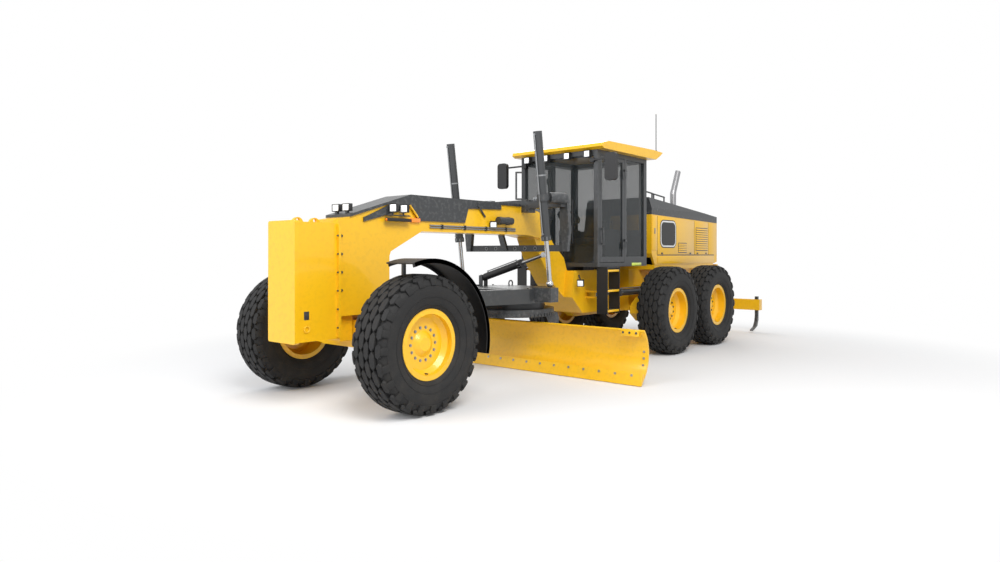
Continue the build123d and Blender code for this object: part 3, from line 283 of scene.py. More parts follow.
def glass_finish(name, colour, alpha):
    """Thin tinted glass: a little diffuse tint, clear, with a sharp reflection."""
    material = bpy.data.materials.new(name)
    material.use_nodes = True
    tree = material.node_tree
    shader = tree.nodes["Principled BSDF"]
    shader.inputs["Base Color"].default_value = (*colour, 1)
    shader.inputs["Roughness"].default_value = 0.03
    shader.inputs["Specular IOR Level"].default_value = 0.6
    facing = tree.nodes.new("ShaderNodeLayerWeight")
    facing.inputs["Blend"].default_value = 0.35
    tint = tree.nodes.new("ShaderNodeMapRange")
    tint.inputs["To Min"].default_value = alpha
    tint.inputs["To Max"].default_value = min(1.0, alpha + 0.35)
    tree.links.new(facing.outputs["Facing"], tint.inputs["Value"])
    tree.links.new(tint.outputs["Result"], shader.inputs["Alpha"])
    return material


def lens_finish(name, colour, glow):
    """A lamp lens: bright plastic with fine ribs and a faint glow of its own."""
    material = finish(name, colour, 0.12, coat=0.6, dust=0.05, grain=140.0, depth=0.2)
    shader = material.node_tree.nodes["Principled BSDF"]
    shader.inputs["Emission Color"].default_value = (*colour, 1)
    shader.inputs["Emission Strength"].default_value = glow
    return material


print("finish tools ready")

# %% The finishes of this machine
MATERIALS = {
    "yellow_paint": finish("yellow_paint", (0.86, 0.485, 0.008), 0.34, coat=0.35, dust=0.03, wear=0.15,
                           worn=(0.45, 0.24, 0.02, 1), depth=0.02, spread=0.015),
    "charcoal_paint": finish("charcoal_paint", (0.034, 0.037, 0.040), 0.42, coat=0.15, dust=0.05, wear=0.25,
                             worn=(0.18, 0.18, 0.18, 1), depth=0.03, spread=0.04),
    "black_plastic": finish("black_plastic", (0.012, 0.012, 0.013), 0.48, dust=0.03, grain=160.0, depth=0.12,
                            spread=0.1),
    "tyre_rubber": finish("tyre_rubber", (0.008, 0.008, 0.0085), 0.74, dust=0.03, grain=90.0, depth=0.2,
                          spread=0.12),
    "chrome": finish("chrome", (0.56, 0.57, 0.58), 0.16, metallic=1.0, dust=0.04, grain=30.0, depth=0.01),
    "bare_steel": finish("bare_steel", (0.36, 0.36, 0.37), 0.38, metallic=1.0, dust=0.1, grain=50.0,
                         depth=0.06, spread=0.2),
    "cast_engine": finish("cast_engine", (0.07, 0.07, 0.075), 0.6, metallic=0.4, dust=0.3, grain=70.0,
                          depth=0.3, spread=0.2),
    "seat_cloth": finish("seat_cloth", (0.030, 0.030, 0.034), 0.9, dust=0.1, grain=320.0, depth=0.5, spread=0.3),
    "tinted_glass": glass_finish("tinted_glass", (0.020, 0.026, 0.028), 0.30),
    "lamp_white": lens_finish("lamp_white", (0.85, 0.87, 0.88), 0.35),
    "amber": lens_finish("amber", (0.9, 0.22, 0.01), 0.25),
    "red_lens": lens_finish("red_lens", (0.6, 0.01, 0.01), 0.15),
    "mirror_face": finish("mirror_face", (0.75, 0.77, 0.80), 0.04, metallic=1.0, dust=0.03, depth=0.0),
    "hose_rubber": finish("hose_rubber", (0.016, 0.016, 0.017), 0.55, dust=0.15, grain=200.0, depth=0.2),
    "grey_fitting": finish("grey_fitting", (0.28, 0.29, 0.30), 0.4, metallic=0.6, dust=0.15, grain=80.0,
                           depth=0.08),
    "reflector": finish("reflector", (0.62, 0.75, 0.10), 0.25, coat=0.6, dust=0.05, grain=220.0, depth=0.15),
    "white_paint": finish("white_paint", (0.72, 0.73, 0.72), 0.35, coat=0.4, dust=0.1, depth=0.03),
}
for material in MATERIALS.values():
    material.diffuse_color = (0.5, 0.5, 0.5, 1)
print("materials:", len(MATERIALS))

# %% [markdown]
# ## Paint for every CAD node
# The CAD meshes keep their own form, so they only need a finish. A table from node to material
# is easier to read and change than a loop with conditions. A node takes the finish of the
# longest entry that its name starts with.

# %% Give each node its finish
NODE_FINISH = {
    "front_frame": "yellow_paint", "front_axle": "yellow_paint", "knuckle": "charcoal_paint",
    "push_block": "yellow_paint", "moldboard": "yellow_paint", "lift_saddle": "charcoal_paint",
    "cab_frame": "charcoal_paint", "cab_roof": "yellow_paint", "hood_top": "charcoal_paint",
    "hood": "yellow_paint", "rear_frame": "yellow_paint", "tandem_axle": "yellow_paint",
    "rim": "yellow_paint", "tyre": "tyre_rubber", "fender": "black_plastic", "mirrors": "black_plastic",
    "beam_cover": "charcoal_paint", "drawbar_ball": "bare_steel", "drawbar": "charcoal_paint",
    "circle": "charcoal_paint", "blade_carrier": "charcoal_paint", "ripper_beam": "yellow_paint",
    "ripper_shanks": "charcoal_paint", "ripper_barrel": "charcoal_paint", "ladders": "black_plastic",
    "door_glass": "tinted_glass", "door": "charcoal_paint", "lift_barrel": "charcoal_paint",
    "shift_barrel": "black_plastic", "articulation_barrel": "charcoal_paint", "tie_rod": "charcoal_paint",
    "lift_rod": "chrome", "shift_rod": "chrome", "articulation_rod": "chrome", "ripper_rod": "chrome",
    "exhaust": "bare_steel", "engine": "cast_engine", "cab_glass": "tinted_glass", "seat": "seat_cloth",
    "work_lamps": "black_plastic",
}
for name, node in NODES.items():
    key = max((k for k in NODE_FINISH if name.startswith(k)), key=len)
    node.data.materials.clear()
    node.data.materials.append(MATERIALS[NODE_FINISH[key]])
    alone(node)
    bpy.ops.object.shade_smooth_by_angle(angle=math.radians(28))
print("finished nodes:", len(NODES))

# %% [markdown]
# ## Tyres
# The real tyres are wide radial ones with rows of rounded blocks, staggered by half a pitch,
# and shoulder blocks that run down on to the sidewall. One block of each row is modelled, as a
# six-sided prism with softened edges, and copied round the wheel. The carcass is a
# section spun round the axle. An image of tread would look flat at the silhouette.

# %% Carcass by spinning a section
TYRE_R, CENTRE_Z = 0.6917, 0.692
WHEEL_X = {"front": 4.270, "middle": -1.1195, "rear": -2.6605}
HALF_TRACK = 1.0665
SECTION = [
    (0.160, 0.354), (0.178, 0.372), (0.196, 0.400), (0.210, 0.440), (0.219, 0.490), (0.221, 0.530),
    (0.217, 0.570), (0.206, 0.608), (0.190, 0.634), (0.160, 0.652), (0.100, 0.659), (0.0, 0.661),
]


def carcass(name):
    """Spin the tyre's outline round the axle, at the origin, axle along Y."""
    outline = SECTION + [(-y, r) for y, r in reversed(SECTION[:-1])]
    mesh = bpy.data.meshes.new(name)
    mesh.from_pydata([(0, y, r) for y, r in outline], [(i, i + 1) for i in range(len(outline) - 1)], [])
    obj = bpy.data.objects.new(name, mesh)
    bpy.context.scene.collection.objects.link(obj)
    alone(obj)
    bpy.ops.object.mode_set(mode="EDIT")
    bpy.ops.mesh.select_all(action="SELECT")
    bpy.ops.mesh.spin(steps=96, angle=math.tau, center=(0, 0, 0), axis=(0, 1, 0))
    bpy.ops.mesh.select_all(action="SELECT")
    bpy.ops.mesh.remove_doubles(threshold=0.0005)
    bpy.ops.mesh.normals_make_consistent(inside=False)
    bpy.ops.object.mode_set(mode="OBJECT")
    start(name, "tyre_rubber")
    bpy.ops.object.shade_smooth()
    return obj


body_of_tyre = carcass("carcass")
print("carcass faces:", len(body_of_tyre.data.polygons))

# %% Tools for the tread
PITCHES = 24
BLOCK_DEPTH = 0.032
# row: distance across, half width, half length, skew of its ends, turn in half pitches, tilt, radius cut
ROWS = [
    (0.037, 0.033, 0.071, 0.020, 0, 0, 0.0), (0.112, 0.034, 0.071, 0.020, 1, 4, 0.002),
    (0.176, 0.026, 0.058, 0.012, 0, 24, 0.018),
]


def block(y, half_w, half_l, skew, side, tilt, sunk):
    """A six-sided block on the crown at the top of the wheel, bent to the wheel's round."""
    deselect()
    bpy.ops.mesh.primitive_cube_add(size=1, location=(0, 0, 0))
    obj = start("block", "tyre_rubber")
    obj.scale = (2 * half_l, 2 * half_w, BLOCK_DEPTH)
    settle(obj)
    bpy.ops.object.mode_set(mode="EDIT")
    bpy.ops.mesh.select_all(action="SELECT")
    bpy.ops.mesh.bisect(plane_co=(0, 0, 0), plane_no=(0, 1, 0))
    bpy.ops.mesh.select_all(action="SELECT")
    bpy.ops.mesh.bisect(plane_co=(0, 0, 0), plane_no=(1, 0, 0))
    bpy.ops.mesh.select_all(action="DESELECT")
    bpy.ops.object.mode_set(mode="OBJECT")
    for v in obj.data.vertices:
        if abs(v.co.y) < 1e-4:
            v.co.x *= 1 + skew / half_l
        else:
            v.co.x *= 1 - skew / half_l
    soften(obj, 0.004, 1)
    obj.rotation_euler = (math.radians(-side * tilt), 0, 0)
    obj.location = (0, side * y, TYRE_R - BLOCK_DEPTH / 2 - sunk)
    settle(obj)
    for v in obj.data.vertices:
        v.co.z = math.sqrt(v.co.z ** 2 - v.co.x ** 2)
    return obj


def round_the_wheel(obj, count, first):
    """Copies of obj turned about the axle; returns all of them."""
    made = []
    for i in range(count):
        twin = obj.copy()
        twin.data = obj.data.copy()
        bpy.context.scene.collection.objects.link(twin)
        twin.rotation_euler = (0, math.tau * (i + first) / count, 0)
        made.append(twin)
    bpy.data.objects.remove(obj)
    return made


print("tread rows:", len(ROWS))

# %% One tread block of each row, copied round
blocks = [body_of_tyre]
for y, half_w, half_l, skew, turn, tilt, sunk in ROWS:
    for side in (1, -1):
        shift = (turn + (side < 0)) * 0.5
        blocks += round_the_wheel(block(y, half_w, half_l, skew, side, tilt, sunk), PITCHES, shift)
for side in (1, -1):
    foot = plate("foot", (0, side * 0.205, 0.618), (0.070, 0.026, 0.075), "tyre_rubber", 0.005,
                 (math.radians(side * 14), 0, 0))
    blocks += round_the_wheel(foot, PITCHES, 0.0 if side > 0 else 0.5)
tyre = settle(merge(blocks, body_of_tyre))
over = max(math.hypot(v.co.x, v.co.z) for v in tyre.data.vertices)
print("tyre vertices:", len(tyre.data.vertices), "radius:", round(over, 4))

# %% [markdown]
# ## Sidewall rings and wheel bolts
# The sidewall has raised rings near the rim and at the shoulder, which catch the light. The
# front wheels carry a ring of fourteen bright bolts, and the tandem wheels twelve dark ones
# deeper in the dish. Each bolt is a hexagon head on a washer, placed round the axle by its
# angle.

# %% Sidewall rings
def ring(name, centre, radius, thick, material, round_steps, thick_steps):
    """A round ring whose axle runs across the machine."""
    deselect()
    bpy.ops.mesh.primitive_torus_add(
        major_radius=radius, minor_radius=thick, major_segments=round_steps, minor_segments=thick_steps,
        location=centre, rotation=(math.pi / 2, 0, 0))
    return settle(start(name, material))


rings = []
for side in (1, -1):
    for radius, y, thick in ((0.395, 0.195, 0.004), (0.470, 0.2165, 0.0035), (0.585, 0.2135, 0.004)):
        rings.append(ring("ring", (0, side * y, 0), radius, thick, "tyre_rubber", 72, 6))
        bpy.ops.object.shade_smooth()
tyre = merge(rings + [tyre], tyre)
print("sidewall rings:", len(rings))

# %% Six tyres from one
def copy_to(obj, name, offset):
    """A copy with its own mesh, moved to its place."""
    twin = obj.copy()
    twin.data = obj.data.copy()
    twin.name = name
    twin.data.name = name
    bpy.context.scene.collection.objects.link(twin)
    twin.location = offset
    return settle(twin)


for place, x in WHEEL_X.items():
    for side, sign in (("left", 1), ("right", -1)):
        piece = copy_to(tyre, f"tread_tyre_{place}_{side}", (x, sign * HALF_TRACK, CENTRE_Z))
        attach(piece, f"wheel_{place}_{side}")
        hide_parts(f"tyre_{place}_{side}")
bpy.data.objects.remove(tyre)
print("tyres placed:", 6)

# %% Wheel bolts
def bolt(name, centre, facing, radius, material, height=None):
    """A hexagon head on a round washer."""
    height = height or radius * 0.8
    turn = Vector(facing).to_track_quat("Z", "Y").to_euler()
    deselect()
    bpy.ops.mesh.primitive_cylinder_add(vertices=12, radius=radius * 1.35, depth=height * 0.3,
                                        location=Vector(centre) + Vector(facing) * height * 0.15, rotation=turn)
    washer = start(name + "_washer", material)
    bpy.ops.mesh.primitive_cylinder_add(vertices=6, radius=radius, depth=height,
                                        location=Vector(centre) + Vector(facing) * height * 0.6, rotation=turn)
    head = start(name, material)
    return settle(merge([washer, head], head))


# place: bolts, circle radius, distance of the disc's outer face from the tyre's middle, size
WHEEL_BOLTS = {"front": (14, 0.165, 0.062, 0.012), "middle": (12, 0.150, 0.004, 0.013),
               "rear": (12, 0.150, 0.004, 0.013)}
for place, (count, circle, face, size) in WHEEL_BOLTS.items():
    for side, sign in (("left", 1), ("right", -1)):
        heads = []
        for i in range(count):
            angle = math.tau * (i + 0.5) / count
            centre = (WHEEL_X[place] + circle * math.sin(angle), sign * (HALF_TRACK + face),
                      CENTRE_Z + circle * math.cos(angle))
            heads.append(bolt("bolt", centre, (0, sign, 0), size,
                              "bare_steel" if place == "front" else "charcoal_paint"))
        deselect()
        bpy.ops.mesh.primitive_cylinder_add(
            vertices=12, radius=0.006, depth=0.05, rotation=(math.pi / 2, 0, 0),
            location=(WHEEL_X[place], sign * (HALF_TRACK + 0.11), CENTRE_Z - 0.29))
        heads.append(settle(start("valve", "hose_rubber")))
        join(f"wheel_bolts_{place}_{side}", heads, f"wheel_{place}_{side}")
print("wheel bolts done")

# %% [markdown]
# ## Push block bolts and small fittings
# A bolted flange joins the push block to the nose. Its heads stand in two columns, one on each
# face of the joint. They are hexagon heads placed from a short table, because a table of heights
# is easy to compare with the real flange, row by row.

# %% Flange bolts
FLANGE_HEIGHTS = (0.82, 1.01, 1.20, 1.39, 1.58, 1.77)
heads = []
for side in (1, -1):
    for z in FLANGE_HEIGHTS:
        heads.append(bolt("bolt", (4.6404, side * 0.2545, z), (1, 0, 0), 0.008, "charcoal_paint", 0.012))
    for z in FLANGE_HEIGHTS[2:]:
        heads.append(bolt("bolt", (4.560, side * 0.2001, z), (0, side, 0), 0.011, "charcoal_paint", 0.014))
join("push_block_bolts", heads, "front")
print("flange bolts:", len(heads))

# %% Side fittings of the push block
FITTING_X = 5.000
fittings = []
for side in (1, -1):
    fittings.append(plate("blank_plate", (FITTING_X, side * 0.2275, 0.965), (0.060, 0.004, 0.085),
                          "charcoal_paint", 0.002))
    fittings.append(ring("tie_down", (FITTING_X, side * 0.232, 0.830), 0.030, 0.009, "yellow_paint", 24, 8))
join("push_block_fittings", fittings, "front")
print("push block fittings:", len(fittings))

# %% [markdown]
# ## Blade bolts
# The cutting edge is held by plough bolts in a long row, and each end bit by three more. Their
# flat heads sit nearly flush, so each is a low cylinder and not a hexagon. A small bracket with
# three bolts stands on the blade's top edge at its left end.

# %% Plough bolts
def stud(centre, facing, radius, height, material):
    """A low round head."""
    deselect()
    bpy.ops.mesh.primitive_cylinder_add(vertices=14, radius=radius, depth=height, location=centre,
                                        rotation=Vector(facing).to_track_quat("Z", "Y").to_euler())
    return settle(start("stud", material))


EDGE_BOLTS, FIRST_Y, BOLT_STEP = 18, -1.955, 0.230
heads = []
for i in range(EDGE_BOLTS):
    y = FIRST_Y + i * BOLT_STEP
    heads.append(stud((1.6222, y, 0.118), (0.947, 0, 0.322), 0.016, 0.010, "bare_steel"))
for side in (1, -1):
    for x, z in ((1.5042, 0.235), (1.4855, 0.315), (1.4785, 0.395)):
        heads.append(stud((x, side * 2.045, z), (1, 0, 0.2), 0.015, 0.012, "bare_steel"))
heads.append(plate("end_bracket", (1.560, 1.905, 0.622), (0.052, 0.250, 0.086), "yellow_paint", 0.006))
for y in (1.815, 1.905, 1.995):
    heads.append(bolt("bolt", (1.586, y, 0.625), (1, 0, 0), 0.011, "charcoal_paint"))
join("blade_bolts", heads, "moldboard")
print("blade bolts:", len(heads))

# %% [markdown]
# ## Engine housing
# The sides of the housing are doors with narrow gaps between them. Each door is a thin panel
# with rounded edges, so the gap between two of them is a real groove, and a dark strip laid in
# each gap is painted shade. Louvres are tilted slats over a dark plate, which is painted shade
# for the openings between them; the slats are evenly spaced from bottom to top. Their sizes
# come from a short table, and each side has a blank sign with a light line round it.

# %% Tools for the housing's sides
def sloped_panel(name, x0, x1, low, high_at_x0, high_at_x1, y, thick, material):
    """A panel on the side of the housing whose top edge slopes."""
    deselect()
    bpy.ops.mesh.primitive_cube_add(size=1, location=((x0 + x1) / 2, y, 0))
    obj = start(name, material)
    obj.scale = (x1 - x0, thick, 1)
    settle(obj)
    for v in obj.data.vertices:
        at_front = v.co.x > (x0 + x1) / 2
        v.co.z = low if v.co.z < 0 else (high_at_x1 if at_front else high_at_x0)
    return soften(obj, 0.0035)


def sign(name, centre, wide, high, thick, corner, material):
    """A flat sign with rounded corners, on the side of the housing."""
    deselect()
    bpy.ops.mesh.primitive_cube_add(size=1, location=centre)
    obj = start(name, material)
    obj.scale = (wide, thick, high)
    settle(obj)
    bpy.ops.object.mode_set(mode="EDIT")
    bpy.ops.mesh.select_mode(type="EDGE")
    bpy.ops.mesh.select_all(action="DESELECT")
    bpy.ops.object.mode_set(mode="OBJECT")
    for edge in obj.data.edges:
        a, b = (obj.data.vertices[i].co for i in edge.vertices)
        edge.select = abs(a.y - b.y) > thick / 2
    bpy.ops.object.mode_set(mode="EDIT")
    bpy.ops.mesh.bevel(offset=corner, segments=8, affect="EDGES")
    bpy.ops.object.mode_set(mode="OBJECT")
    bpy.ops.object.shade_smooth_by_angle(angle=math.radians(30))
    return obj


def shoulder(x):
    """Height of the housing's shoulder at x, a little under the dark lid."""
    return 2.165 + 0.060 * (x + 4.0) / 2.655


print("shoulder height, rear and front:", shoulder(-4.0), shoulder(-1.345))

# %% Door panels, louvres, catches and signs
# panel: X from, X to, Z from; its top follows the shoulder, or is given
PANELS = [(-1.530, -1.362, 1.640, None), (-2.970, -1.545, 1.570, None), (-3.585, -2.985, 1.570, None),
          (-3.985, -3.600, 1.570, None), (-3.860, -1.545, 1.415, 1.553)]
# louvre patch: X from, X to, Z from, Z to, slats
LOUVRES = [(-2.640, -2.320, 1.610, 1.770, 5), (-3.540, -3.040, 1.650, 2.060, 10)]
# sign layer: width, height, corner, material; each stands a little further out
SIGN_X, SIGN_Z = -1.930, 1.925
SIGN_LAYERS = [(0.600, 0.480, 0.120, "black_plastic"), (0.568, 0.448, 0.106, "white_paint"),
               (0.516, 0.396, 0.086, "black_plastic")]
SEAM_X, SEAM_LOW = (-1.5375, -2.9775, -3.5925), 1.570
for side, word in ((1, "left"), (-1, "right")):
    made = []
    for x0, x1, low, high in PANELS:
        top0, top1 = (high, high) if high else (shoulder(x0), shoulder(x1))
        made.append(sloped_panel("door_panel", x0, x1, low, top0, top1, side * 0.6535, 0.007, "yellow_paint"))
    for x0, x1, low, high, count in LOUVRES:
        middle = ((x0 + x1) / 2, side * 0.6575, (low + high) / 2)
        # The dark plate under the slats is painted shade for the shadowed openings of the louvre.
        made.append(plate("painted_louvre_shade", middle, (x1 - x0 + 0.02, 0.002, high - low + 0.02), "charcoal_paint", 0))
        step = (high - low) / count
        for i in range(count):
            made.append(plate("slat", (middle[0], side * 0.6620, low + (i + 0.5) * step),
                              (x1 - x0, 0.004, step * 0.78), "yellow_paint", 0.0015,
                              (math.radians(side * 16), 0, 0)))
    made.append(plate("catch", (-1.440, side * 0.6610, 1.966), (0.030, 0.010, 0.095), "grey_fitting", 0.004))
    for x in (-1.700, -2.800, -3.100, -3.480):
        made.append(plate("catch", (x, side * 0.6600, 1.592), (0.060, 0.008, 0.026), "charcoal_paint", 0.003))
    for i, (wide, high, corner, material) in enumerate(SIGN_LAYERS):
        centre = (SIGN_X, side * (0.6580 + 0.0010 * i), SIGN_Z)
        made.append(sign("sign_layer", centre, wide, high, 0.004, corner, material))
    # A dark strip in each door gap is painted shade for the shadow inside the gap.
    for x in SEAM_X:
        top = shoulder(x)
        made.append(plate("seam", (x, side * 0.6508, (SEAM_LOW + top) / 2), (0.015, 0.001, top - SEAM_LOW),
                          "charcoal_paint", 0))
    made.append(plate("seam", (-2.7025, side * 0.6508, 1.5615), (2.315, 0.001, 0.017), "charcoal_paint", 0))
    join(f"housing_doors_{word}", made, "rear")
print("housing doors done")

# %% Rear grille
GRILLE_X, GRILLE_Z, BAR_COUNT, BAR_STEP = -4.009, 1.790, 12, 0.047
# The dark sheet behind the bars is painted shade for the shadowed openings of the grille.
made = [plate("painted_grille_shade", (-4.0015, 0, GRILLE_Z), (0.003, 1.040, 0.560), "charcoal_paint", 0)]
for i in range(BAR_COUNT):
    made.append(plate("grille_bar", (GRILLE_X, 0, 1.532 + i * BAR_STEP), (0.014, 1.040, 0.018), "charcoal_paint",
                      0.003))
for side in (1, -1):
    made.append(plate("grille_edge", (GRILLE_X, side * 0.532, GRILLE_Z), (0.018, 0.026, 0.590), "yellow_paint"))
    made.append(plate("grille_edge", (GRILLE_X, 0, GRILLE_Z + side * 0.288), (0.018, 1.090, 0.026), "yellow_paint"))
join("rear_grille", made, "rear")
print("grille parts:", len(made))

# %% Tail lamps
made = []
for side in (1, -1):
    made.append(plate("tail_lamp", (-4.011, side * 0.598, 1.560), (0.022, 0.060, 0.150), "black_plastic", 0.006))
    made.append(plate("tail_lens", (-4.023, side * 0.598, 1.590), (0.006, 0.048, 0.066), "red_lens", 0.003))
    made.append(plate("turn_lens", (-4.023, side * 0.598, 1.520), (0.006, 0.048, 0.050), "amber", 0.003))
join("tail_lamps", made, "rear")
print("rear end done")

# %% [markdown]
# ## Lamps of the front frame
# The machine has square work lamps under the roof, two headlamps on the nose, and a cluster
# of two lamps, a turn bar and an orange marker on each side of the beam. Each lamp is a dark
# housing whose front face is inset and pushed back, with a ribbed lens standing in the recess.

# %% How a lamp and a bar are made
def rod(name, start_at, end_at, radius, material, sides=20):
    """A round bar between two points."""
    a, b = Vector(start_at), Vector(end_at)
    deselect()
    bpy.ops.mesh.primitive_cylinder_add(
        vertices=sides, radius=radius, depth=(b - a).length, location=(a + b) / 2,
        rotation=(b - a).to_track_quat("Z", "Y").to_euler())
    obj = start(name, material)
    settle(obj)
    bpy.ops.object.shade_smooth_by_angle(angle=math.radians(40))
    return obj


def lamp(name, centre, size, turn=(0, 0, 0), lens="lamp_white"):
    """A housing that looks forwards, its front face inset and sunk, and a lens in it."""
    deselect()
    bpy.ops.mesh.primitive_cube_add(size=1, location=(0, 0, 0))
    housing = start(name, "black_plastic")
    housing.scale = size
    settle(housing)
    bpy.ops.object.mode_set(mode="EDIT")
    bpy.ops.mesh.select_all(action="DESELECT")
    bpy.ops.mesh.select_mode(type="FACE")
    bpy.ops.object.mode_set(mode="OBJECT")
    for face in housing.data.polygons:
        face.select = face.normal.x > 0.9
    bpy.ops.object.mode_set(mode="EDIT")
    bpy.ops.mesh.inset(thickness=min(size[1], size[2]) * 0.08)
    bpy.ops.transform.translate(value=(-0.010, 0, 0))
    bpy.ops.object.mode_set(mode="OBJECT")
    soften(housing, 0.003)
    glass = plate(name + "_lens", (size[0] / 2 - 0.007, 0, 0),
                  (0.006, size[1] * 0.82, size[2] * 0.82), lens, 0.002)
    housing = merge([glass, housing], housing)
    housing.rotation_euler = turn
    housing.location = centre
    return settle(housing)


print("lamp tools ready")

# %% Lamps in their places
ROOF_LAMP_Y = (-0.56, -0.20, 0.20, 0.56)
roof_lamps = [lamp("roof_lamp", (0.4455, y, 3.050), (0.071, 0.102, 0.102)) for y in ROOF_LAMP_Y]
piece = join("roof_lamps", roof_lamps, "front")
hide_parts("work_lamps")
made = []
for side in (1, -1):
    made.append(lamp("headlamp", (4.405, side * 0.090, 2.082), (0.055, 0.120, 0.080)))
    made.append(plate("headlamp_foot", (4.405, side * 0.090, 2.032), (0.030, 0.040, 0.030), "charcoal_paint", 0.003))
    made.append(plate("lamp_arm", (3.820, side * 0.246, 2.012), (0.330, 0.046, 0.014), "charcoal_paint", 0.003))
    made.append(lamp("turn_bar", (3.826, side * 0.256, 1.962), (0.363, 0.042, 0.034), (0, 0, 0), "amber"))
    for x in (3.758, 3.918):
        made.append(lamp("cluster_lamp", (x, side * 0.284, 2.090), (0.052, 0.092, 0.092),
                         (0, 0, math.radians(side * 18))))
        made.append(rod("lamp_stalk", (x, side * 0.262, 2.015), (x, side * 0.262, 2.048), 0.010, "charcoal_paint"))
    made.append(plate("marker", (3.543, side * 0.2245, 1.970), (0.150, 0.010, 0.046), "amber", 0.004))
    made.append(rod("bracket", (3.628, side * 0.226, 2.137), (3.503, side * 0.226, 2.004), 0.012, "yellow_paint"))
    made.append(rod("strut", (2.475, side * 0.228, 2.207), (2.321, side * 0.214, 2.059), 0.013, "charcoal_paint"))
made.append(lamp("side_lamp", (2.197, 0.250, 1.967), (0.050, 0.090, 0.080), (0, math.radians(20), math.radians(40))))
join("front_lamps", made, "front")
print("lamps:", len(made))

# %% Accumulator and lines on the beam
made = [rod("accumulator", (1.830, 0.256, 2.020), (2.110, 0.256, 2.020), 0.048, "charcoal_paint", 32)]
made.append(rod("accumulator_end", (1.818, 0.256, 2.020), (1.832, 0.256, 2.020), 0.022, "grey_fitting"))
for x in (1.880, 2.050):
    made.append(plate("strap", (x, 0.226, 2.020), (0.028, 0.060, 0.106), "charcoal_paint", 0.004))
for side in (1, -1):
    for z in (1.895, 1.920):
        made.append(rod("pipe", (1.700, side * 0.2115, z), (3.300, side * 0.2115, z), 0.009, "grey_fitting", 12))
    for x in (1.900, 2.300, 2.700, 3.100):
        made.append(plate("clip", (x, side * 0.2120, 1.9075), (0.030, 0.026, 0.056), "black_plastic", 0.003))
join("beam_fittings", made, "front")
print("beam fittings:", len(made))

# %% [markdown]
# ## Cab fittings
# Through the glass a buyer sees the seat, the levers and the display, and outside it the wiper,
# the grab rail, the mirrors' faces and the yellow steps. The seat is a padded form: cushions are
# boxes subdivided, rounded and puffed, with a groove where the cover is sewn.

# %% Seat
def cushion(name, centre, size, turn=(0, 0, 0), puff=0.10):
    """A box cut into a grid, rounded, and pushed out most in the middle of its faces."""
    deselect()
    bpy.ops.mesh.primitive_cube_add(size=1, location=(0, 0, 0))
    obj = start(name, "seat_cloth")
    obj.scale = size
    settle(obj)
    bpy.ops.object.mode_set(mode="EDIT")
    bpy.ops.mesh.select_all(action="SELECT")
    bpy.ops.mesh.subdivide(number_cuts=9)
    bpy.ops.object.mode_set(mode="OBJECT")
    for v in obj.data.vertices:
        u = [2 * v.co[i] / size[i] for i in range(3)]
        thin = min(range(3), key=lambda i: size[i])
        a, b = [u[i] for i in range(3) if i != thin]
        v.co[thin] *= 1 - puff + puff * (1 - a ** 4) * (1 - b ** 4) * 2
        seam = 0.04 * math.exp(-((abs(a) - 0.55) / 0.07) ** 2)
        v.co[thin] *= 1 - seam
        for i in range(3):
            if i != thin:
                v.co[i] *= 1 - 0.05 * u[thin] ** 2
    obj.rotation_euler = turn
    obj.location = centre
    settle(obj)
    bpy.ops.object.shade_smooth_by_angle(angle=math.radians(50))
    return obj


made = [cushion("base", (-0.475, 0, 1.776), (0.480, 0.470, 0.120)),
        cushion("back", (-0.722, 0, 2.150), (0.110, 0.450, 0.600), (0, math.radians(-10.5), 0))]
made.append(cushion("head", (-0.784, 0, 2.425), (0.075, 0.270, 0.080), (0, math.radians(-10.5), 0)))
piece = join("padded_seat", made, "front")
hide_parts("seat")
print("seat vertices:", len(piece.data.vertices))

# %% Levers and display
made = []
for side in (1, -1):
    for i, x in enumerate((-0.560, -0.480, -0.400, -0.320)):
        y = side * 0.370
        made.append(rod("lever", (x, y, 1.968), (x + 0.010, y, 2.080), 0.006, "charcoal_paint", 10))
        deselect()
        bpy.ops.mesh.primitive_uv_sphere_add(segments=14, ring_count=8, radius=0.020, location=(x + 0.011, y, 2.092))
        made.append(settle(start("knob", "black_plastic")))
        bpy.ops.object.shade_smooth()
made.append(plate("display", (0.250, -0.300, 2.180), (0.030, 0.200, 0.150), "black_plastic", 0.008, (0, -0.2, 0.3)))
join("cab_controls", made, "front")
print("control parts:", len(made))

# %% Wiper, grab rail, mirror faces, aerial, reflectors
made = [rod("wiper_arm", (0.386, 0.020, 1.500), (0.386, 0.250, 2.020), 0.008, "black_plastic", 10),
        rod("wiper_blade", (0.382, 0.250, 1.740), (0.382, 0.250, 2.400), 0.009, "black_plastic", 8),
        stud((0.390, 0.020, 1.500), (1, 0, 0), 0.022, 0.024, "black_plastic")]
made.append(rod("grab_rail", (0.470, -0.772, 2.445), (0.470, -0.772, 2.890), 0.0150, "charcoal_paint"))
for z in (2.455, 2.880):
    made.append(rod("rail_foot", (0.470, -0.772, z), (0.400, -0.690, z), 0.0140, "charcoal_paint"))
for y, z, high in ((0.950, 2.840, 0.335), (-1.080, 2.845, 0.345)):
    made.append(plate("mirror_glass", (0.3985, y, z), (0.004, 0.150, high), "mirror_face", 0.0015))
made.append(rod("aerial_sleeve", (-1.255, 0.777, 3.200), (-1.255, 0.777, 3.8690), 0.0066, "black_plastic", 12))
made.append(rod("aerial_foot", (-1.255, 0.777, 3.190), (-1.255, 0.777, 3.275), 0.016, "black_plastic", 16))
for side in (1, -1):
    made.append(plate("reflector", (-0.730, side * 0.7125, 1.420), (0.300, 0.004, 0.046), "reflector", 0.0015))
join("cab_fittings", made, "front")
print("cab fittings:", len(made))

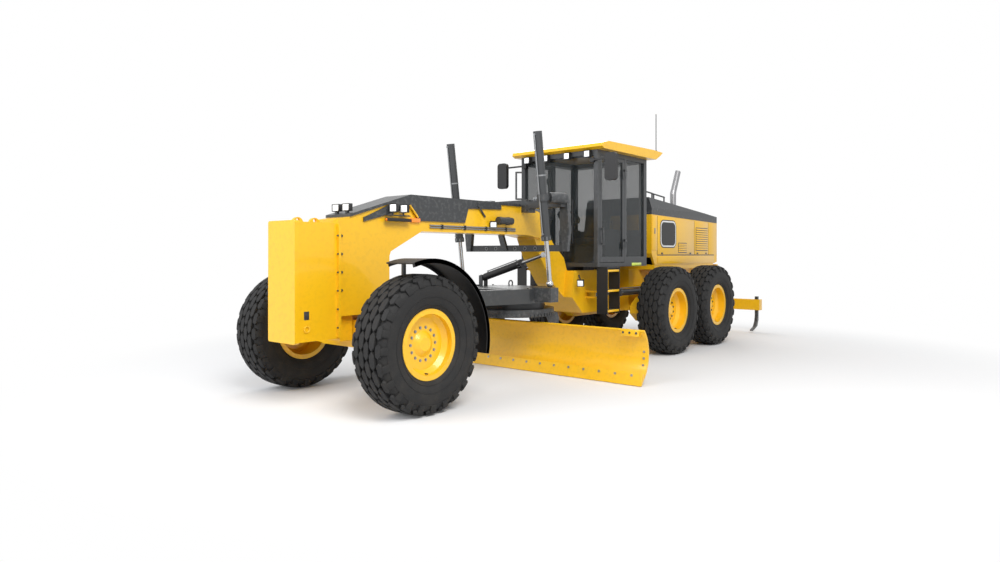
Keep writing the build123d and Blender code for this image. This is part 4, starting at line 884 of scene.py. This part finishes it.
# %% Steps and the low lamp
STEP_Y, STEP_HEIGHTS = 0.7630, (0.745, 1.040, 1.335)
made = []
for side in (1, -1):
    for z in STEP_HEIGHTS:
        made.append(plate("tread", (0.180, side * STEP_Y, z), (0.318, 0.152, 0.032), "yellow_paint", 0.003))
        for x in (0.070, 0.143, 0.217, 0.290):
            made.append(plate("grip", (x, side * STEP_Y, z + 0.0175), (0.022, 0.136, 0.005), "charcoal_paint",
                              0.001))
made.append(lamp("low_lamp", (0.450, 0.440, 1.150), (0.050, 0.100, 0.100), (0, math.radians(15), math.radians(20))))
made.append(rod("low_lamp_stalk", (0.425, 0.420, 1.190), (0.330, 0.330, 1.260), 0.012, "charcoal_paint"))
join("steps_and_low_lamp", made, "front")
print("step parts:", len(made))

# %% [markdown]
# ## Saddle, cylinders and drawbar
# The saddle's lock bar has a row of holes for its pin; each is drawn as a grey ring with a black
# disc on it, and the disc is painted shade for the dark inside of the hole. Each cylinder has a
# gland nut and a steel line along its barrel, and a lift cylinder has a grey band too. Fittings
# that turn with a barrel ride on it, so each is placed from the two ends of its own cylinder.

# %% Lock bar and saddle bolts
LOCK_HOLES, HOLE_STEP = 7, 0.179
made = []
for i in range(LOCK_HOLES):
    y = (i - LOCK_HOLES // 2) * HOLE_STEP
    made.append(stud((1.4485, y, 1.658), (1, 0, 0), 0.026, 0.003, "grey_fitting"))
    # The black disc is painted shade for the dark inside of the lock hole.
    made.append(stud((1.4495, y, 1.658), (1, 0, 0), 0.019, 0.004, "black_plastic"))
for side in (1, -1):
    for z in (2.185, 2.250, 2.315):
        made.append(bolt("bolt", (1.5560, side * 0.290, z), (1, 0, 0), 0.014, "charcoal_paint"))
    made.append(plate("valve_block", (1.480, side * 0.450, 2.325), (0.110, 0.130, 0.048), "grey_fitting", 0.005))
    for dy in (-0.035, 0.0, 0.035):
        made.append(rod("port", (1.536, side * 0.450 + dy, 2.325), (1.556, side * 0.450 + dy, 2.325), 0.011,
                        "grey_fitting", 6))
join("saddle_fittings", made, "front")
print("saddle fittings:", len(made))

# %% Bands, glands and lines of the cylinders
def on_line(a, b, distance):
    """The point on the way from a to b, at a distance from a."""
    return Vector(a) + (Vector(b) - Vector(a)).normalized() * distance


# cylinder: pivot, eye, barrel behind the pivot, barrel ahead of it, barrel radius, line's side
CYLINDERS = {
    "lift_barrel_left": ((1.833, 0.780, 2.310), (1.680, 0.780, 1.190), 0.850, 0.560, 0.058, (1, 0, 0)),
    "lift_barrel_right": ((1.833, -0.780, 2.310), (1.680, -0.780, 1.190), 0.850, 0.560, 0.058, (1, 0, 0)),
    "shift_barrel": ((1.592, -0.470, 1.240), (1.592, 0.620, 1.570), -0.060, 0.740, 0.050, (0, -0.29, 0.957)),
    "articulation_barrel_left": ((-1.350, 0.480, 0.965), (0.060, 0.480, 0.965), -0.060, 0.780, 0.052, (0, 0, 1)),
    "articulation_barrel_right": ((-1.350, -0.480, 0.965), (0.060, -0.480, 0.965), -0.060, 0.780, 0.052, (0, 0, 1)),
}
for name, (pivot, eye, behind, ahead, radius, out) in CYLINDERS.items():
    made = []
    aside = Vector(out) * (radius + 0.016)
    first, last = on_line(pivot, eye, -behind + 0.050), on_line(pivot, eye, ahead - 0.080)
    made.append(rod("line", first + aside, last + aside, 0.008, "grey_fitting", 10))
    for at in (first, last):
        made.append(rod("port", at + aside * 0.6, at + aside * 1.12, 0.013, "grey_fitting", 12))
    made.append(rod("gland", on_line(pivot, eye, ahead - 0.052), on_line(pivot, eye, ahead - 0.012),
                    radius + 0.0095, "grey_fitting", 8))
    if behind > 0:
        at = -behind + 0.4 * (behind + ahead)
        made.append(rod("band", on_line(pivot, eye, at - 0.009), on_line(pivot, eye, at + 0.009), radius + 0.003,
                        "grey_fitting", 32))
    join(name + "_fittings", made, name)
print("cylinders dressed:", len(CYLINDERS))

# %% Drawbar ring and circle teeth
made = [ring("lifting_ring", (1.180, -0.300, 1.150), 0.042, 0.010, "charcoal_paint", 28, 10)]
for side in (1, -1):
    for x in (1.300, 1.480, 1.660, 1.840):
        made.append(bolt("bolt", (x, side * 0.540, 1.1205), (0, 0, 1), 0.014, "charcoal_paint"))
join("drawbar_fittings", made, "drawbar")
CIRCLE_X, TOOTH_RADIUS, TOOTH_COUNT = 1.570, 0.6255, 64
teeth = []
for i in range(TOOTH_COUNT):
    turn = math.tau * i / TOOTH_COUNT
    teeth.append(plate("tooth", (CIRCLE_X + TOOTH_RADIUS * math.cos(turn), TOOTH_RADIUS * math.sin(turn), 0.765),
                       (0.013, 0.034, 0.040), "charcoal_paint", 0.002, (0, 0, turn)))
join("circle_teeth", teeth, "circle")
print("circle teeth:", len(teeth))

# %% [markdown]
# ## Fender edges
# A moulded fender has a turned-down lip all along both edges, which stiffens it. The lip is a
# flat four-cornered face, spun round the wheel's axle through the same arc as the fender.

# %% Spin the lips
FENDER_X, FENDER_Z, FENDER_OUT, LIP = WHEEL_X["front"], CENTRE_Z, 0.8445, 0.048
FENDER_FRONT, FENDER_ARC = math.radians(-17), math.radians(119)
for side, word in ((1, "left"), (-1, "right")):
    made = []
    for y in (0.8905, 1.2655):
        deselect()
        bpy.ops.mesh.primitive_plane_add(size=1, location=(0, 0, 0), rotation=(0, math.pi / 2, 0))
        obj = start("lip", "black_plastic")
        obj.scale = (LIP, 0.013, 1)
        obj.location = (FENDER_X, side * y, FENDER_Z + FENDER_OUT - LIP / 2)
        settle(obj)
        bpy.ops.object.mode_set(mode="EDIT")
        bpy.ops.mesh.select_all(action="SELECT")
        bpy.ops.transform.rotate(value=FENDER_FRONT, orient_axis="Y", center_override=(FENDER_X, 0, FENDER_Z))
        bpy.ops.mesh.spin(steps=40, angle=FENDER_ARC, center=(FENDER_X, 0, FENDER_Z), axis=(0, 1, 0))
        bpy.ops.mesh.select_all(action="SELECT")
        bpy.ops.mesh.normals_make_consistent(inside=False)
        bpy.ops.object.mode_set(mode="OBJECT")
        made.append(soften(obj, 0.003, 1))
    piece = join(f"fender_lips_{word}", made, f"knuckle_{word}")
    print("fender lips,", word, "vertices:", len(piece.data.vertices))

# %% [markdown]
# ## Floor, light and camera
# Catalogues show such a machine on white: a soft shadow under it, and no horizon. A pale floor
# that fades to white some way off gives that. What the camera sees, directly or in chrome and
# glass, is white, while the same world and floor light the paint more gently. The Light Path
# node tells those sight rays from lighting rays. The camera stands ahead and to the left at eye
# height, with level sight lines, so uprights stay upright.

# %% Which rays see white
def sight_rays(tree):
    """1 for rays from the camera, also by way of a mirror or glass; 0 for light."""
    path = tree.nodes.new("ShaderNodeLightPath")
    seen_by = path.outputs["Is Camera Ray"]
    for kind in ("Is Glossy Ray", "Is Transmission Ray"):
        either = tree.nodes.new("ShaderNodeMath")
        either.operation = "MAXIMUM"
        tree.links.new(seen_by, either.inputs[0])
        tree.links.new(path.outputs[kind], either.inputs[1])
        seen_by = either.outputs[0]
    return seen_by


print("sight rays: camera, glossy, transmission")

# %% Floor
FADE_FROM, FADE_TO = 4.0, 7.5  # distance from the machine's middle
deselect()
bpy.ops.mesh.primitive_plane_add(size=240, location=(0, 0, -0.002))
floor = bpy.context.active_object
floor.name = "studio_floor"
floor_finish = bpy.data.materials.new("studio_floor")
floor_finish.use_nodes = True
tree = floor_finish.node_tree
shader = tree.nodes["Principled BSDF"]
shader.inputs["Base Color"].default_value = (0.80, 0.80, 0.805, 1)
shader.inputs["Roughness"].default_value = 0.9
shader.inputs["Specular IOR Level"].default_value = 0.1
place = tree.nodes.new("ShaderNodeTexCoord")
distance = tree.nodes.new("ShaderNodeVectorMath")
distance.operation = "LENGTH"
tree.links.new(place.outputs["Object"], distance.inputs[0])
fade = tree.nodes.new("ShaderNodeMapRange")
fade.interpolation_type = "SMOOTHSTEP"
fade.inputs["From Min"].default_value = FADE_FROM
fade.inputs["From Max"].default_value = FADE_TO
tree.links.new(distance.outputs["Value"], fade.inputs["Value"])
plain_white = tree.nodes.new("ShaderNodeEmission")
plain_white.inputs["Color"].default_value = (1, 1, 1, 1)
mix = tree.nodes.new("ShaderNodeMixShader")
white_here = tree.nodes.new("ShaderNodeMath")
white_here.operation = "MULTIPLY"
tree.links.new(fade.outputs["Result"], white_here.inputs[0])
tree.links.new(sight_rays(tree), white_here.inputs[1])
tree.links.new(white_here.outputs[0], mix.inputs["Fac"])
tree.links.new(shader.outputs["BSDF"], mix.inputs[1])
tree.links.new(plain_white.outputs["Emission"], mix.inputs[2])
tree.links.new(mix.outputs["Shader"], tree.nodes["Material Output"].inputs["Surface"])
floor.data.materials.append(floor_finish)
print("floor size:", tuple(floor.dimensions))

# %% World and lamps
world = bpy.context.scene.world or bpy.data.worlds.new("studio")
bpy.context.scene.world = world
world.use_nodes = True
tree = world.node_tree
tree.nodes.clear()
seen = tree.nodes.new("ShaderNodeBackground")
seen.inputs["Color"].default_value = (1, 1, 1, 1)
lit = tree.nodes.new("ShaderNodeBackground")
lit.inputs["Color"].default_value = (0.93, 0.96, 1.0, 1)
lit.inputs["Strength"].default_value = 0.50
mix = tree.nodes.new("ShaderNodeMixShader")
output = tree.nodes.new("ShaderNodeOutputWorld")
tree.links.new(sight_rays(tree), mix.inputs["Fac"])
tree.links.new(lit.outputs["Background"], mix.inputs[1])
tree.links.new(seen.outputs["Background"], mix.inputs[2])
tree.links.new(mix.outputs["Shader"], output.inputs["Surface"])

# name: place, size, power, colour
LAMPS = {
    "key": ((7.0, 9.0, 10.0), 7.0, 1600, (1.0, 0.98, 0.95)),
    "front": ((12.0, -2.0, 6.0), 6.0, 560, (0.97, 0.98, 1.0)),
    "rear": ((-9.0, -6.0, 8.0), 7.0, 560, (1.0, 1.0, 1.0)),
}
for name, (where, size, power, colour) in LAMPS.items():
    light = bpy.data.lights.new(name, "AREA")
    light.size = size
    light.energy = power
    light.color = colour
    studio_lamp = bpy.data.objects.new(name, light)
    bpy.context.scene.collection.objects.link(studio_lamp)
    studio_lamp.location = where
    studio_lamp.rotation_euler = (Vector((0, 0, 1.2)) - Vector(where)).to_track_quat("-Z", "Y").to_euler()
bpy.context.scene.view_settings.view_transform = "Standard"
print("lamps of the studio:", list(LAMPS))

# %% Camera
view = bpy.data.cameras.new("catalogue_view")
view.sensor_width = 36.0
view.lens = 24.466
view.shift_x = 0.00275
view.shift_y = -0.027
camera = bpy.data.objects.new("catalogue_view", view)
bpy.context.scene.collection.objects.link(camera)
camera.location = (8.883, 6.066, 1.580)
camera.rotation_euler = Vector((-0.758, -0.652, 0.0)).to_track_quat("-Z", "Y").to_euler()
bpy.context.scene.camera = camera
print("camera at", tuple(camera.location))
